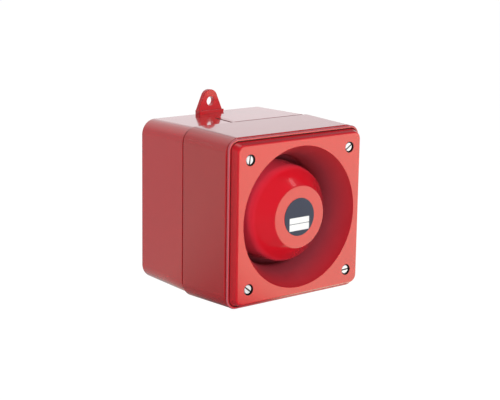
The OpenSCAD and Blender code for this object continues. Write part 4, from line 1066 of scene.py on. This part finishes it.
def buildFloor():
    bm = bmesh.new()
    bmesh.ops.create_grid(bm, x_segments=1, y_segments=1, size=stage["floorSize"] / 2)
    mesh = bpy.data.meshes.new("floor")
    bm.to_mesh(mesh)
    bm.free()
    floor = bpy.data.objects.new("floor", mesh)
    floor.location.z = startBounds[0][2] - stage["floorGap"]
    scene.collection.objects.link(floor)
    material, tree = startMaterial("floorWhite")[:2]
    tree.nodes.clear()
    output = addNode(tree, "ShaderNodeOutputMaterial")
    path = addNode(tree, "ShaderNodeLightPath")
    matte = addNode(tree, "ShaderNodeBsdfDiffuse", {"Color": (stage["albedo"],) * 3 + (1,)})
    centre = addNode(tree, "ShaderNodeVectorMath", {1: stage["middle"]}, operation="SUBTRACT")
    link(placeOn(tree), centre.inputs[0])
    room = glowFrom(roomGroup, centre.outputs[0])
    glow = addNode(tree, "ShaderNodeEmission")
    tone = mixColours(path.outputs["Is Camera Ray"], room, (stage["cameraWhite"],) * 3)
    link(tone, glow.inputs["Color"])
    seen = calc("MULTIPLY", path.outputs["Is Camera Ray"], stage["cameraShare"])
    mixShaders(calc("MAXIMUM", seen, path.outputs["Is Glossy Ray"]), matte, glow, output)
    mesh.materials.append(material)


def buildWorld():
    world = bpy.data.worlds.new("surround")
    scene.world = world
    world.use_nodes = True
    tree = world.node_tree
    tree.nodes.clear()
    output = addNode(tree, "ShaderNodeOutputWorld")
    path = addNode(tree, "ShaderNodeLightPath")
    direction = addNode(tree, "ShaderNodeTexCoord").outputs["Generated"]
    groups = (roomGroup, upperGroup, ceilingGroup)
    room, upper, ceiling = (glowFrom(group, direction) for group in groups)
    axes = addNode(tree, "ShaderNodeSeparateXYZ")
    link(direction, axes.inputs[0])
    rise = mapRange(axes.outputs["Z"], stage["riseLow"], stage["riseHigh"])
    band = mapRange(axes.outputs["Z"], stage["bandLow"], stage["bandHigh"], 1.0, 0.0)
    walls = mixColours(band, ceiling, mixColours(rise, room, upper))
    light = addNode(tree, "ShaderNodeBackground", {"Color": (1, 1, 1, 1), "Strength": stage["worldLight"]})
    seen = addNode(tree, "ShaderNodeBackground")
    link(mixColours(path.outputs["Is Camera Ray"], walls, (1, 1, 1)), seen.inputs["Color"])
    clear = calc("MAXIMUM", path.outputs["Is Glossy Ray"], path.outputs["Is Transmission Ray"])
    mixShaders(calc("MAXIMUM", path.outputs["Is Camera Ray"], clear), light, seen, output)


lamps = {
    "key": {"place": (-0.08, -1.53, 0.65), "size": 0.35, "power": 15.6, "gloss": False},
    "fill": {"place": (-1.06, 1.03, 0.51), "size": 0.4, "power": 8.4, "gloss": False},
    "low": {"place": (-0.80, -1.30, 0.02), "size": 0.35, "power": 6.3, "gloss": False},
    "streak": {"place": (0.63, -0.44, 1.30), "size": 0.16, "power": 1.1, "gloss": True},
}


def buildLamps():
    for name, lamp in lamps.items():
        data = bpy.data.lights.new(name, "AREA")
        data.shape = "DISK"
        data.size = lamp["size"]
        data.energy = lamp["power"]
        lampObject = bpy.data.objects.new(name, data)
        lampObject.location = lamp["place"]
        aim = Vector(stage["middle"]) - Vector(lamp["place"])
        lampObject.visible_glossy = lamp["gloss"]
        lampObject.rotation_euler = aim.to_track_quat("-Z", "Y").to_euler()
        scene.collection.objects.link(lampObject)


buildFloor()
buildWorld()
buildLamps()
print("stage and lamps")


# Camera
view = {
    "yaw": -38.93, "pitch": 12.43, "roll": 0.93, "lens": 96.34, "sensor": 36.0, "distance": 1.1115,
    "target": (0.0001, -0.060, 0.0023),
}


def buildCamera():
    yaw, pitch, roll = (math.radians(view[key]) for key in ("yaw", "pitch", "roll"))
    back = Vector((math.sin(yaw) * math.cos(pitch), -math.cos(yaw) * math.cos(pitch), math.sin(pitch)))
    right = Vector((math.cos(yaw), math.sin(yaw), 0))
    up = back.cross(right)
    across = right * math.cos(roll) + up * math.sin(roll)
    high = up * math.cos(roll) - right * math.sin(roll)
    data = bpy.data.cameras.new("camera")
    data.lens = view["lens"]
    data.sensor_width = view["sensor"]
    data.sensor_fit = "HORIZONTAL"
    camera = bpy.data.objects.new("camera", data)
    turn = Matrix((across, high, back)).transposed().to_4x4()
    camera.matrix_world = Matrix.Translation(Vector(view["target"]) + back * view["distance"]) @ turn
    scene.collection.objects.link(camera)
    scene.camera = camera


buildCamera()
scene.view_settings.view_transform = "Standard"
print("camera")
